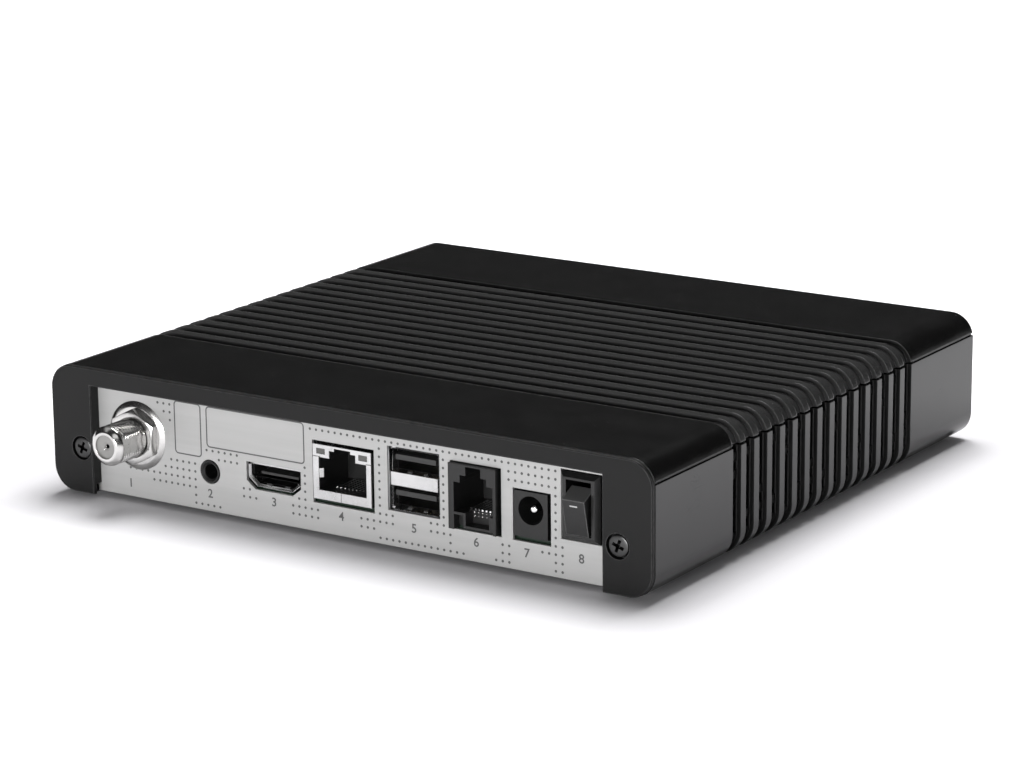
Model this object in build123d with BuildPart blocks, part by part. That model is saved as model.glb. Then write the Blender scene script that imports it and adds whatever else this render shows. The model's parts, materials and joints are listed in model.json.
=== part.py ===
from build123d import *
from math import cos, pi, radians, sin
import os

os.makedirs("parts", exist_ok=True)

# Satellite receiver, millimetres.  +Z is up, the connector face looks along +Y and the front along -Y.
# "Across" is measured from the aerial side of the case towards the switch side, as seen from behind.
# "Deep" is measured forwards from the rear face, and "high" upwards from the underside of the case.

# ---------------------------------------------------------------- driving dimensions: case
corner_radius = 6.0        # long edges of the case
groove_floor = 1.2         # wall left under a groove
groove_depth = 1.05
groove_width = 3.62
rib_width = 2.28
groove_count = 15
rear_plain = 34.25         # smooth length between the rear face and the first groove
front_plain = 33.53        # smooth length between the last groove and the front
fit_gap = 0.2              # between nested pieces of the case
seam_gap = 0.4             # shadow line between cover and base
cover_side = 4.85          # height of the cover's side below its top
leg_width = 12.0           # rear frame, aerial leg
switch_leg_extra = 0.75    # the leg beside the switch is this much wider
top_bar = 4.4              # rear frame, height of its top bar
recess_depth = 2.9         # rear face to connector panel
rim = 1.0                  # thickness of the rear frame's visible edge
rim_inset = 0.1
rim_edge = 0.25            # softened front edge of the rear frame
reveal = 0.15              # shadow line between rear frame and case
panel_sheet = 0.8
tab_rise = 0.45            # panel's lower edge above the underside
cover_bevel = 0.35         # along the cover's lower edges
foot_proud = 1.0
foot_d = 10.0
foot_sunk = 0.6
foot_inset = 17.0          # foot centre from the case's sides and ends

# vent slots in the groove floors
slot_margin = 0.25         # groove floor left on each side of a slot
slot_short = 2.1
slot_long = 12.3
slot_bridge = 2.05
side_slot_start = 5.75     # lowest slot above the underside
side_orders = ("LSS", "SLS", "SSL", "SLS")   # upwards, short and long slots of one groove
top_shorts = 5             # short slots between two long ones on the cover
top_shift = 6.15           # sideways step of the pattern from groove to groove

# ---------------------------------------------------------------- driving dimensions: screws
frame_screw_d = 3.0
frame_screw_head_d = 5.0
frame_screw_head = 1.7
frame_screw_length = 9.0
frame_screw_inset = 8.8    # from the side of the case
frame_screw_rise = 3.1     # above the board
head_room_d = 5.9          # counterbore round a frame screw's head
head_room = 1.9
screw_clear = 0.05         # round a shank
boss_wall = 1.2
base_screw_d = 3.0
base_screw_head_d = 5.4
base_screw_head = 1.6
base_screw_length = 12.0
base_boss_height = 3.2     # above the floor
post_d = 6.2
post_side = 8.5            # post axis from the side of the case
post_rear = 24.0
post_front = 12.0
board_screw_d = 2.5
board_screw_head_d = 4.6
board_screw_head = 1.5
board_screw_length = 5.0

# ---------------------------------------------------------------- driving dimensions: board and sockets
standoff_height = 4.15
standoff_d = 5.6
board_t = 1.6
board_rear_gap = 0.4       # connector panel to board
board_side_gap = 2.0
board_front_gap = 38.0     # board's front edge to the front of the case
standoff_side = 22.0       # stand-off axis from the side of the case
standoff_rear = 52.0
standoff_front = 8.0       # stand-off axis from the board's front edge
snug_cut = 0.25            # play of most sockets in the panel
wide_cut = 0.5             # sides of the network and power sockets
tall_cut = 0.7             # over and under the network socket
low_cut = 0.5              # under the sensor socket's legs
slot_cut = 0.75            # beside the sensor and power sockets, towards the switch

# gaps between neighbouring sockets, in order across the panel
gap_leg_antenna = 3.2
gap_antenna_av = 10.2
gap_av_hdmi = 8.2
gap_hdmi_network = 4.2
gap_network_usb = 4.45
gap_usb_sensor = 3.3
gap_sensor_power = 4.25
gap_power_switch = 3.6
gap_switch_leg = 2.65

# aerial socket
antenna_d = 9.5            # 3/8 inch thread
antenna_seat_d = 8.9       # under the nut and washer
antenna_reach = 9.2        # tip beyond the rear face
antenna_chamfer = 0.95
antenna_bore_d = 7.0
antenna_bore_depth = 4.6
insulator_sunk = 0.6
contact_d = 1.6
contact_bore_d = 1.0
washer_d = 16.8
washer_t = 0.6
nut_flats = 12.0
nut_t = 1.9
nut_turn = 2.0             # degrees
thread_clear = 0.05
tuner_width = 18.0
tuner_depth = 40.0
tuner_height = 15.3
tuner_sheet = 0.6

# 3.5 mm jack
av_boss_d = 5.3
av_bore_d = 3.6
av_bore_depth = 15.0
av_mouth = 0.55            # chamfer of the mouth
av_proud = 0.2
av_axis_rise = 1.95
av_body_width = 6.4
av_body_depth = 14.0
av_body_height = 4.9
av_sunk = 1.1              # body below the board's face, in a notch
av_ear = 1.0

# HDMI-size receptacle
hdmi_width = 15.0
hdmi_lift = 0.45           # shell above the board
hdmi_height = 5.45
hdmi_sheet = 0.5
hdmi_sunk = 0.5            # shell behind the panel's face
hdmi_depth = 12.0
hdmi_slope_x = 2.4
hdmi_slope_z = 1.9
hdmi_back = 2.5            # plastic behind the cavity
hdmi_foot = 8.0            # width of the block between shell and board
tongue_width = 10.6
tongue_t = 0.6
tongue_rise = 2.5          # underside of the tongue above the shell's underside
tongue_sunk = 2.0

# network socket
network_width = 16.1
network_lift = 0.5         # nose above the board
network_nose = 3.0
network_height = 12.9
network_proud = 0.5
network_depth = 18.0
network_sheet = 0.4
network_cavity_depth = 11.0
network_mouth = 13.2
network_mouth_shift = 0.15 # mouth off the socket's middle, towards the switch
network_mouth_height = 7.7
network_floor = 2.7        # mouth above the board
network_step = 7.3
network_step_height = 1.8
network_tab = 4.5
network_tab_height = 0.7
lamp_width = 2.4
lamp_height = 1.3
lamp_spread = 11.7         # between the lamps' centres
lamp_rise = 11.85

# stacked USB sockets
usb_width = 13.6
usb_height = 14.5
usb_lift = 1.0             # nose above the board
usb_sunk = 0.3             # shell behind the panel's face
usb_depth = 17.5
usb_nose = 4.0
usb_cavity_width = 12.6
usb_cavity_height = 5.2
usb_cavity_depth = 14.0
usb_bar = 3.1              # between the two cavities
usb_tongue_width = 10.9
usb_tongue_t = 1.2
usb_tongue_rise = 2.8
usb_tongue_sunk = 0.7
usb_strip_width = 1.0
usb_strip_t = 0.2
usb_strip_pitch = 2.5

# six-way sensor socket
sensor_width = 12.5
sensor_height = 14.7
sensor_proud = 1.2
sensor_depth = 17.0
sensor_cavity_depth = 12.0
sensor_mouth = 10.3
sensor_mouth_shift = 0.35  # mouth off the socket's middle, towards the switch
sensor_floor = 3.65
sensor_mouth_height = 6.85
sensor_step = 7.0
sensor_step_height = 1.7
sensor_tab = 4.0
sensor_tab_height = 2.1
sensor_well = 6.2          # width of the contact well under the mouth
sensor_well_shift = 1.05   # from the middle of the mouth
sensor_well_depth = 2.9
sensor_well_reach = 3.0
sensor_bar = 0.6           # walls round the well
sensor_foot = 0.45         # legs reach below the board
sensor_notch = 2.2         # depth of the openings beside and under the well
sensor_wires = 6

wire_pitch = 1.02          # contact wires of the network and sensor sockets
wire_size = 0.45
wire_length = 7.0
wire_sunk = 3.0            # behind the socket's face
network_wires = 8

# power inlet
power_width = 8.65
power_height = 10.4
power_lift = 0.4           # nose above the board
power_nose = 3.0
power_over = 0.35          # play over the nose
power_under = 1.2          # play under it
power_proud = 0.2
power_depth = 14.0
power_bore_d = 6.5
power_bore_depth = 9.5
power_axis_rise = 6.6
power_pin_d = 2.0
power_pin_sunk = 1.0

# rocker switch
switch_width = 10.0
switch_height = 15.4
switch_lift = 1.7          # nose above the board
switch_proud = 1.3
switch_depth = 16.0
switch_nose = 4.2
switch_wall = 1.8          # side walls
switch_bevel = 1.0         # sloped rim round the housing's face
switch_end_wall = 1.55     # top and bottom walls
switch_cavity_depth = 11.5
rocker_width = 5.7
rocker_face = 8.56         # length of the rocker's flat face
rocker_face_rise = 8.25    # face above the pivot
rocker_shoulder = 10.6     # length where the flanks end
rocker_shoulder_rise = 3.6
rocker_heel = 4.0
rocker_heel_drop = 1.6
rocker_tilt = 12.8         # degrees each way from the middle
pivot_sunk = 5.4           # pivot behind the panel's face
pivot_d = 2.0
pivot_clear = 0.03
terminal_width = 2.8
terminal_t = 0.8
terminal_pitch = 4.5

# ---------------------------------------------------------------- driving dimensions: inside and front
chip_size = 27.0
chip_t = 2.2
chip_deep = 66.0           # centre behind the rear face
sink_size = 38.0
sink_base = 2.0
sink_height = 9.0
fin_count = 9
fin_t = 1.2
memory_width = 9.0
memory_length = 13.0
memory_t = 1.2
memory_gap = 5.0
flash_width = 18.0
flash_length = 12.0
transformer_width = 16.0
transformer_length = 12.0
transformer_height = 6.0
coil_size = 7.5
coil_height = 4.5
capacitor_d = 8.0
capacitor_height = 12.0
capacitor_count = 4
part_gap = 3.0             # between parts on the board
crystal_width = 11.0
crystal_t = 4.5
crystal_height = 3.6
front_sheet = 2.4
front_sunk = 0.6
window_width_front = 64.0
window_height_front = 9.0
window_lip = 1.2
ledge = 3.0                # blocks that the front panel rests against
front_board_width = 60.0
front_board_height = 16.0
front_board_t = 1.2
front_board_gap = 6.4      # front board to front panel
guide_size = 4.0
receiver_width = 6.0
receiver_height = 7.0
receiver_depth = 5.0
light_d = 3.0
light_length = 5.2
ribbon_width = 16.0
ribbon_t = 0.8
header_width = 20.0
header_depth = 4.0
header_height = 6.0

# ---------------------------------------------------------------- derived layout
pitch = groove_width + rib_width
groove_zone = (groove_count - 1) * pitch + groove_width
case_depth = rear_plain + groove_zone + front_plain
wall = groove_floor + groove_depth

ports = {}
across = leg_width
for port_name, gap_before, port_width in (
    ("antenna", gap_leg_antenna, washer_d),
    ("av", gap_antenna_av, av_boss_d),
    ("hdmi", gap_av_hdmi, hdmi_width),
    ("network", gap_hdmi_network, network_width),
    ("usb", gap_network_usb, usb_width),
    ("sensor", gap_usb_sensor, sensor_width),
    ("power", gap_sensor_power, power_width),
    ("switch", gap_power_switch, switch_width),
):
    ports[port_name] = across + gap_before + port_width / 2
    across += gap_before + port_width
case_width = across + gap_switch_leg + leg_width

board_top = wall + standoff_height + board_t
window_gap = 1.5
opening_height = board_top + switch_lift + switch_height + window_gap
case_height = opening_height + top_bar
base_height = case_height - cover_side - seam_gap
antenna_axis = board_top + tuner_height / 2
panel_back = recess_depth + panel_sheet
case_start = rim + reveal

overall_depth = case_depth + antenna_reach
rear_y = overall_depth / 2 - antenna_reach


def x_at(across_case):
    return case_width / 2 - across_case


def y_at(deep):
    return rear_y - deep


def z_at(high):
    return foot_proud + high


def facing(deep):
    """Plane at a depth behind the rear face; it extrudes forwards, and its sketch reads X and Z."""
    return Plane.XZ.offset(deep - rear_y)


def level(high):
    """Horizontal plane at a height above the underside of the case."""
    return Plane.XY.offset(z_at(high))


def block(across_case, deep, high, width, depth, height, mode=Mode.ADD):
    """Rectangular block: centre across the case, rear face, underside, then its three sizes."""
    with Locations((x_at(across_case), y_at(deep + depth / 2), z_at(high + height / 2))):
        Box(width, depth, height, mode=mode)


def case_section(inset, mode=Mode.ADD):
    """The case's rounded outline, moved inwards by inset, on a facing plane."""
    with Locations((0, z_at(case_height / 2))):
        RectangleRounded(
            case_width - 2 * inset, case_height - 2 * inset, corner_radius - inset, mode=mode
        )


def groove_deep(index):
    return rear_plain + index * pitch


def groove_ring(index, keep_underside):
    """Ring that cuts one groove out of the case; the flat underside stays plain where asked."""
    with BuildSketch(facing(groove_deep(index))) as ring:
        case_section(-1.0)
        case_section(groove_depth, mode=Mode.SUBTRACT)
        if keep_underside:
            with Locations((0, z_at(0))):
                Rectangle(case_width - 2 * corner_radius, case_height, mode=Mode.SUBTRACT)
    return extrude(ring.sketch, amount=groove_width, mode=Mode.PRIVATE)


def stepped_mouth(across_case, floor, widths, heights):
    """Outline of a modular socket's mouth: main opening, step and latch way, stacked upwards."""
    high = floor
    for width, height in zip(widths, heights):
        with Locations((x_at(across_case), z_at(high + height / 2))):
            Rectangle(width, height)
        high += height


def hdmi_outline(grow, drop=0.0, mode=Mode.ADD):
    """Receptacle outline with its two sloped lower corners, on a facing plane."""
    half = hdmi_width / 2 + grow
    low = board_top + hdmi_lift - drop - grow
    top = board_top + hdmi_lift + hdmi_height + grow
    centre = x_at(ports["hdmi"])
    Polygon(
        (centre - half, z_at(top)),
        (centre + half, z_at(top)),
        (centre + half, z_at(low + hdmi_slope_z)),
        (centre + half - hdmi_slope_x, z_at(low)),
        (centre - half + hdmi_slope_x, z_at(low)),
        (centre - half, z_at(low + hdmi_slope_z)),
        align=None,
        mode=mode,
    )


# ---------------------------------------------------------------- base case
post_places = [
    (side, deep)
    for side in (post_side, case_width - post_side)
    for deep in (post_rear, case_depth - post_front)
]
board_front = case_depth - board_front_gap
standoff_places = [
    (side, deep)
    for side in (standoff_side, case_width - standoff_side)
    for deep in (standoff_rear, board_front - standoff_front)
]
foot_places = [
    (side, deep)
    for side in (foot_inset, case_width - foot_inset)
    for deep in (foot_inset, case_depth - foot_inset)
]
frame_screw_places = [frame_screw_inset, case_width - frame_screw_inset]
frame_screw_high = board_top + frame_screw_rise
boss_high = frame_screw_rise - fit_gap * 2      # half the height of a frame screw's boss
boss_length = frame_screw_length - recess_depth + head_room + boss_wall
panel_tab = case_width - 2 * leg_width + 2 * rim    # width of the panel's lower part
post_foot = base_boss_height + wall                 # top of the bosses that meet the cover's posts
front_back = case_depth - front_sunk - front_sheet  # rear side of the front panel
front_board_deep = front_back - front_board_gap - front_board_t


def each(places):
    """Points on a horizontal plane for places given as across and deep."""
    return [(x_at(side), y_at(deep)) for side, deep in places]


def side_slots():
    """The three slots of every groove in the base's side walls, as (deep, low, length)."""
    lengths = {"S": slot_short, "L": slot_long}
    found = []
    for index in range(groove_count):
        low = side_slot_start
        for kind in side_orders[index % len(side_orders)]:
            top = min(low + lengths[kind], base_height + 1.0)
            found.append((groove_deep(index) + groove_width / 2, low, top - low))
            low += lengths[kind] + slot_bridge
    return found


with BuildPart() as base_case:
    with BuildSketch(facing(case_start)):
        case_section(0)
        case_section(wall, mode=Mode.SUBTRACT)
        with Locations((0, z_at(base_height + case_height / 2))):
            Rectangle(case_width + 2, case_height, mode=Mode.SUBTRACT)
    extrude(amount=case_depth - case_start)
    add([groove_ring(index, True) for index in range(groove_count)], mode=Mode.SUBTRACT)
    # vent slots, through both side walls
    with BuildSketch(Plane.YZ):
        for deep, low, length in side_slots():
            with Locations((y_at(deep), z_at(low + length / 2))):
                Rectangle(groove_width - 2 * slot_margin, length)
    extrude(amount=case_width, both=True, mode=Mode.SUBTRACT)
    # way for the connector panel's lower edge
    block(
        case_width / 2, case_start - 1, -1, panel_tab + 2 * fit_gap,
        panel_back + fit_gap - case_start + 1, wall + 1, mode=Mode.SUBTRACT,
    )
    # stand-offs under the board and bosses under the cover's posts
    with BuildSketch(level(0)):
        with Locations(*each(standoff_places)):
            Circle(standoff_d / 2)
    extrude(amount=wall + standoff_height)
    with BuildSketch(level(0)):
        with Locations(*each(post_places)):
            Circle(post_d / 2 + boss_wall)
    extrude(amount=post_foot)
    # bosses behind the rear frame's legs
    for side in frame_screw_places:
        outward = frame_screw_head_d / 2 + boss_wall
        inner = wall - groove_depth / 2
        reach = frame_screw_inset + outward - inner
        centre = inner + reach / 2
        block(
            centre if side < case_width / 2 else case_width - centre, panel_back,
            frame_screw_high - boss_high, reach, boss_length, 2 * boss_high,
        )
    # ledges behind the front panel
    for side in (wall + ledge / 2 - 0.5, case_width - wall - ledge / 2 + 0.5):
        block(side, front_back - ledge, corner_radius, ledge, ledge, base_height - 2 * corner_radius)
    # guides for the front board
    for sign in (-1, 1):
        guide_across = case_width / 2 + sign * front_board_width / 2
        block(
            guide_across, front_board_deep - (guide_size - front_board_t) / 2, wall,
            guide_size, guide_size, front_board_height * 0.75,
        )
    block(
        case_width / 2, front_board_deep - fit_gap / 2, wall, front_board_width + fit_gap,
        front_board_t + fit_gap, front_board_height, mode=Mode.SUBTRACT,
    )
    # screw holes
    with BuildSketch(facing(panel_back)):
        with Locations(*[(x_at(side), z_at(frame_screw_high)) for side in frame_screw_places]):
            Circle(frame_screw_d / 2 + screw_clear)
    extrude(amount=boss_length - boss_wall, mode=Mode.SUBTRACT)
    with BuildSketch(level(wall)):
        with Locations(*each(standoff_places)):
            Circle(board_screw_d / 2 + screw_clear)
    extrude(amount=standoff_height, mode=Mode.SUBTRACT)
    with BuildSketch(level(0)):
        with Locations(*each(post_places)):
            Circle(base_screw_d / 2 + screw_clear)
    extrude(amount=post_foot, mode=Mode.SUBTRACT)
    with BuildSketch(level(0)):
        with Locations(*each(post_places)):
            Circle(base_screw_head_d / 2 + fit_gap)
    extrude(amount=base_screw_head + fit_gap, mode=Mode.SUBTRACT)
    # seats of the feet
    with BuildSketch(level(0)):
        with Locations(*each(foot_places)):
            Circle(foot_d / 2 + fit_gap)
    extrude(amount=foot_sunk, mode=Mode.SUBTRACT)

# ---------------------------------------------------------------- top cover
cover_low = base_height + seam_gap
cover_flat = case_width - 2 * corner_radius - 2 * slot_short


def top_slots():
    """Slots in the cover's grooves as (across, deep, length): a run of short ones, then a long one."""
    lengths = [slot_short] * top_shorts + [slot_long]
    run = sum(lengths) + len(lengths) * slot_bridge
    low_end = (case_width - cover_flat) / 2
    high_end = (case_width + cover_flat) / 2
    found = []
    for index in range(groove_count):
        place = low_end - run + (index * top_shift) % run
        while place < high_end:
            for length in lengths:
                if place >= low_end and place + length <= high_end:
                    found.append((place + length / 2, groove_deep(index) + groove_width / 2, length))
                place += length + slot_bridge
    return found


with BuildPart() as top_cover:
    with BuildSketch(facing(case_start)):
        case_section(0)
        case_section(wall, mode=Mode.SUBTRACT)
        with Locations((0, z_at(cover_low - case_height / 2))):
            Rectangle(case_width + 2, case_height, mode=Mode.SUBTRACT)
    extrude(amount=case_depth - case_start)
    add([groove_ring(index, False) for index in range(groove_count)], mode=Mode.SUBTRACT)
    with BuildSketch(facing(case_start)):
        for side in (-case_width / 2, case_width / 2):
            with Locations((side, z_at(cover_low))):
                Rectangle(cover_bevel * 2**0.5, cover_bevel * 2**0.5, rotation=45)
    extrude(amount=case_depth - case_start, mode=Mode.SUBTRACT)
    # vent slots, all those of one length in one cut
    for wanted in (slot_short, slot_long):
        with BuildSketch(level(case_height - wall - 1)):
            with Locations(*[(x_at(a), y_at(d)) for a, d, size in top_slots() if size == wanted]):
                Rectangle(wanted, groove_width - 2 * slot_margin)
        extrude(amount=wall + 2, mode=Mode.SUBTRACT)
    # lips that hang inside the base's smooth side walls
    lip_t = groove_floor
    for start, stop in ((post_rear, rear_plain), (case_depth - front_plain, front_back - ledge)):
        for side in (wall + fit_gap + lip_t / 2, case_width - wall - fit_gap - lip_t / 2):
            block(
                side, start + fit_gap, base_height - 2 * lip_t, lip_t, stop - start - 2 * fit_gap,
                cover_side + seam_gap + 2 * lip_t - wall,
            )
    # posts that take the base screws
    with BuildSketch(level(post_foot)):
        with Locations(*each(post_places)):
            Circle(post_d / 2)
    extrude(amount=case_height - wall / 2 - post_foot)
    with BuildSketch(level(post_foot)):
        with Locations(*each(post_places)):
            Circle(base_screw_d / 2 + screw_clear)
    extrude(amount=base_screw_length, mode=Mode.SUBTRACT)

# ---------------------------------------------------------------- rear frame
with BuildPart() as rear_frame:
    with BuildSketch(facing(0)):
        case_section(rim_inset)
    extrude(amount=rim)
    with BuildSketch(facing(rim)):
        case_section(wall + fit_gap)
    extrude(amount=recess_depth - rim)
    block(
        (case_width - switch_leg_extra) / 2, -1, -1, case_width - 2 * leg_width - switch_leg_extra,
        recess_depth + 2, opening_height + 1, mode=Mode.SUBTRACT,
    )
    front_edges = rear_frame.edges().filter_by(Plane.XZ).group_by(Axis.Y)[-1]
    chamfer(front_edges, rim_edge)
    with BuildSketch(facing(0)):
        with Locations(*[(x_at(side), z_at(frame_screw_high)) for side in frame_screw_places]):
            Circle(head_room_d / 2)
    extrude(amount=head_room, mode=Mode.SUBTRACT)
    with BuildSketch(facing(0)):
        with Locations(*[(x_at(side), z_at(frame_screw_high)) for side in frame_screw_places]):
            Circle(frame_screw_d / 2 + fit_gap)
    extrude(amount=recess_depth, mode=Mode.SUBTRACT)

# ---------------------------------------------------------------- connector panel
with BuildPart() as rear_panel:
    with BuildSketch(facing(recess_depth)):
        case_section(wall + fit_gap)
        with Locations((0, z_at(wall + tab_rise))):
            Rectangle(panel_tab, 2 * wall)
        with Locations(*[(x_at(side), z_at(frame_screw_high)) for side in frame_screw_places]):
            Circle(frame_screw_d / 2 + fit_gap, mode=Mode.SUBTRACT)
        with Locations((x_at(ports["antenna"]), z_at(antenna_axis))):
            Circle(antenna_seat_d / 2 + snug_cut, mode=Mode.SUBTRACT)
        with Locations((x_at(ports["av"]), z_at(board_top + av_axis_rise))):
            Circle(av_boss_d / 2 + snug_cut, mode=Mode.SUBTRACT)
        hdmi_outline(snug_cut, drop=hdmi_lift, mode=Mode.SUBTRACT)
        # play before, behind, under and over each nose, as seen across the panel
        for port_name, width, low, height, before, behind, under, over in (
            ("network", network_width, network_lift, network_height,
             wide_cut, wide_cut, tall_cut + network_lift, tall_cut),
            ("usb", usb_width, usb_lift, usb_height, snug_cut, snug_cut, snug_cut, snug_cut),
            ("sensor", sensor_width, 0, sensor_height,
             snug_cut, slot_cut, snug_cut + low_cut, snug_cut),
            ("power", power_width, power_lift, power_height,
             wide_cut, slot_cut, power_under, power_over),
            ("switch", switch_width, switch_lift, switch_height,
             snug_cut, snug_cut, snug_cut, snug_cut),
        ):
            place = x_at(ports[port_name] + (behind - before) / 2)
            with Locations((place, z_at(board_top + low + height / 2 + (over - under) / 2))):
                Rectangle(width + before + behind, height + under + over, mode=Mode.SUBTRACT)
    extrude(amount=panel_sheet)

# ---------------------------------------------------------------- screws and feet


def pan_screws(plane, places, shank_d, shank_length, head_d, head):
    """Pan-head screws with a cross recess; the head stands on the back of the given plane."""
    with BuildSketch(plane) as shanks:
        with Locations(*places):
            Circle(shank_d / 2)
    extrude(shanks.sketch, amount=shank_length)
    with BuildSketch(plane.offset(-head)) as heads:
        with Locations(*places):
            Circle(head_d / 2)
    extrude(heads.sketch, amount=head)
    with BuildSketch(plane.offset(-head)) as crosses:
        with Locations(*places):
            Rectangle(head_d * 0.6, head_d * 0.15)
            Rectangle(head_d * 0.15, head_d * 0.6)
    extrude(crosses.sketch, amount=head * 0.6, mode=Mode.SUBTRACT)


with BuildPart() as rear_frame_screws:
    pan_screws(
        facing(head_room), [(x_at(side), z_at(frame_screw_high)) for side in frame_screw_places],
        frame_screw_d, frame_screw_length, frame_screw_head_d, frame_screw_head,
    )
    rims = rear_frame_screws.edges().filter_by(GeomType.CIRCLE).group_by(Axis.Y)[-1]
    fillet(rims, frame_screw_head * 0.45)

with BuildPart() as base_screws:
    pan_screws(
        level(base_screw_head + fit_gap), each(post_places),
        base_screw_d, base_screw_length, base_screw_head_d, base_screw_head,
    )

with BuildPart() as board_screws:
    pan_screws(
        Plane(origin=(0, 0, z_at(board_top)), x_dir=(1, 0, 0), z_dir=(0, 0, -1)),
        [(x, -y) for x, y in each(standoff_places)],
        board_screw_d, board_screw_length, board_screw_head_d, board_screw_head,
    )

with BuildPart() as rubber_feet:
    with BuildSketch(level(foot_sunk)):
        with Locations(*each(foot_places)):
            Circle(foot_d / 2)
    extrude(amount=-(foot_sunk + foot_proud))
    soles = rubber_feet.edges().filter_by(GeomType.CIRCLE).group_by(Axis.Z)[0]
    chamfer(soles, foot_proud * 0.4)

# ---------------------------------------------------------------- board
board_rear = panel_back + board_rear_gap
board_width = case_width - 2 * (wall + board_side_gap)

with BuildPart() as main_board:
    block(
        case_width / 2, board_rear, board_top - board_t, board_width,
        board_front - board_rear, board_t,
    )
    with BuildSketch(level(board_top - board_t)):
        with Locations(*each(standoff_places)):
            Circle(board_screw_d / 2 + fit_gap)
        with Locations(*[place for place in each(post_places) if place[1] > y_at(board_front)]):
            Circle(post_d / 2 + 2 * fit_gap)
    extrude(amount=board_t, mode=Mode.SUBTRACT)
    block(
        ports["av"], board_rear - 1, board_top - board_t - 1, av_body_width + 2 * fit_gap,
        av_body_depth + 1 + fit_gap, board_t + 2, mode=Mode.SUBTRACT,
    )

# ---------------------------------------------------------------- aerial socket and tuner
antenna_place = (x_at(ports["antenna"]), z_at(antenna_axis))
tuner_rear = board_rear
washer_deep = recess_depth - washer_t
nut_deep = washer_deep - nut_t

with BuildPart() as tuner_can:
    block(ports["antenna"], tuner_rear, board_top, tuner_width, tuner_depth, tuner_height)
    block(
        ports["antenna"], tuner_rear + tuner_sheet, board_top, tuner_width - 2 * tuner_sheet,
        tuner_depth - 2 * tuner_sheet, tuner_height, mode=Mode.SUBTRACT,
    )
    with BuildSketch(facing(tuner_rear)):
        with Locations(antenna_place):
            Circle(antenna_bore_d / 2 + thread_clear)
    extrude(amount=tuner_sheet, mode=Mode.SUBTRACT)

with BuildPart() as tuner_lid:
    block(
        ports["antenna"], tuner_rear, board_top + tuner_height, tuner_width, tuner_depth, tuner_sheet,
    )

with BuildPart() as antenna_barrel:
    with BuildSketch(facing(-antenna_reach)):
        with Locations(antenna_place):
            Circle(antenna_d / 2)
    extrude(amount=antenna_reach + nut_deep)
    tip = antenna_barrel.edges().filter_by(GeomType.CIRCLE).group_by(Axis.Y)[-1]
    chamfer(tip, antenna_chamfer)
    with BuildSketch(facing(nut_deep)):
        with Locations(antenna_place):
            Circle(antenna_seat_d / 2)
    extrude(amount=tuner_rear - nut_deep)
    with BuildSketch(facing(tuner_rear)):
        with Locations(antenna_place):
            Circle(antenna_bore_d / 2)
    extrude(amount=2 * tuner_sheet)
    with BuildSketch(facing(-antenna_reach)):
        with Locations(antenna_place):
            Circle(antenna_bore_d / 2)
    extrude(amount=antenna_bore_depth, mode=Mode.SUBTRACT)
    with BuildSketch(facing(-antenna_reach)):
        with Locations(antenna_place):
            Circle(contact_d / 2 + thread_clear)
    extrude(amount=antenna_reach + tuner_rear + 2 * tuner_sheet, mode=Mode.SUBTRACT)

with BuildPart() as antenna_insulator:
    with BuildSketch(facing(insulator_sunk - antenna_reach)):
        with Locations(antenna_place):
            Circle(antenna_bore_d / 2 - thread_clear)
            Circle(contact_d / 2 + thread_clear, mode=Mode.SUBTRACT)
    extrude(amount=antenna_bore_depth - insulator_sunk)

with BuildPart() as antenna_contact:
    with BuildSketch(facing(2 * insulator_sunk - antenna_reach)):
        with Locations(antenna_place):
            Circle(contact_d / 2)
            Circle(contact_bore_d / 2, mode=Mode.SUBTRACT)
    extrude(amount=antenna_reach + tuner_rear + 4 * tuner_sheet)

with BuildPart() as antenna_nut:
    with BuildSketch(facing(nut_deep)):
        with Locations(antenna_place):
            RegularPolygon(nut_flats / 2, 6, major_radius=False, rotation=nut_turn)
            Circle(antenna_seat_d / 2 + thread_clear, mode=Mode.SUBTRACT)
    extrude(amount=nut_t)

with BuildPart() as antenna_washer:
    with BuildSketch(facing(washer_deep)):
        with Locations(antenna_place):
            Circle(washer_d / 2)
            Circle(antenna_seat_d / 2 + thread_clear, mode=Mode.SUBTRACT)
    extrude(amount=washer_t)

# ---------------------------------------------------------------- 3.5 mm jack
av_place = (x_at(ports["av"]), z_at(board_top + av_axis_rise))
av_low = board_top - av_sunk
av_tall = av_body_height + av_sunk

with BuildPart() as av_jack:
    block(ports["av"], board_rear, av_low, av_body_width, av_body_depth, av_tall)
    block(
        ports["av"], board_rear, board_top, av_body_width + 2 * av_ear, av_body_depth, av_ear,
    )
    with BuildSketch(facing(recess_depth - av_proud)):
        with Locations(av_place):
            Circle(av_boss_d / 2)
    extrude(amount=av_proud + panel_sheet + board_rear_gap)
    with BuildSketch(facing(recess_depth - av_proud)):
        with Locations(av_place):
            Circle(av_bore_d / 2)
    extrude(amount=av_bore_depth, mode=Mode.SUBTRACT)
    mouth = av_jack.edges().filter_by(GeomType.CIRCLE).group_by(Axis.Y)[-1].sort_by(SortBy.RADIUS)[0]
    chamfer(mouth, av_mouth)

# ---------------------------------------------------------------- HDMI-size receptacle
hdmi_front = recess_depth + hdmi_sunk
hdmi_cavity = hdmi_depth - hdmi_back

with BuildPart() as hdmi_shell:
    with BuildSketch(facing(hdmi_front)):
        hdmi_outline(0)
        hdmi_outline(-hdmi_sheet, mode=Mode.SUBTRACT)
    extrude(amount=hdmi_depth)
    block(
        ports["hdmi"], board_rear, board_top, hdmi_foot, hdmi_front + hdmi_depth - board_rear,
        hdmi_lift + hdmi_sheet / 2,
    )

with BuildPart() as hdmi_tongue:
    with BuildSketch(facing(hdmi_front + hdmi_cavity)):
        hdmi_outline(-hdmi_sheet - thread_clear)
    extrude(amount=hdmi_back)
    block(
        ports["hdmi"], hdmi_front + tongue_sunk, board_top + hdmi_lift + tongue_rise, tongue_width,
        hdmi_cavity - tongue_sunk, tongue_t,
    )

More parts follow.
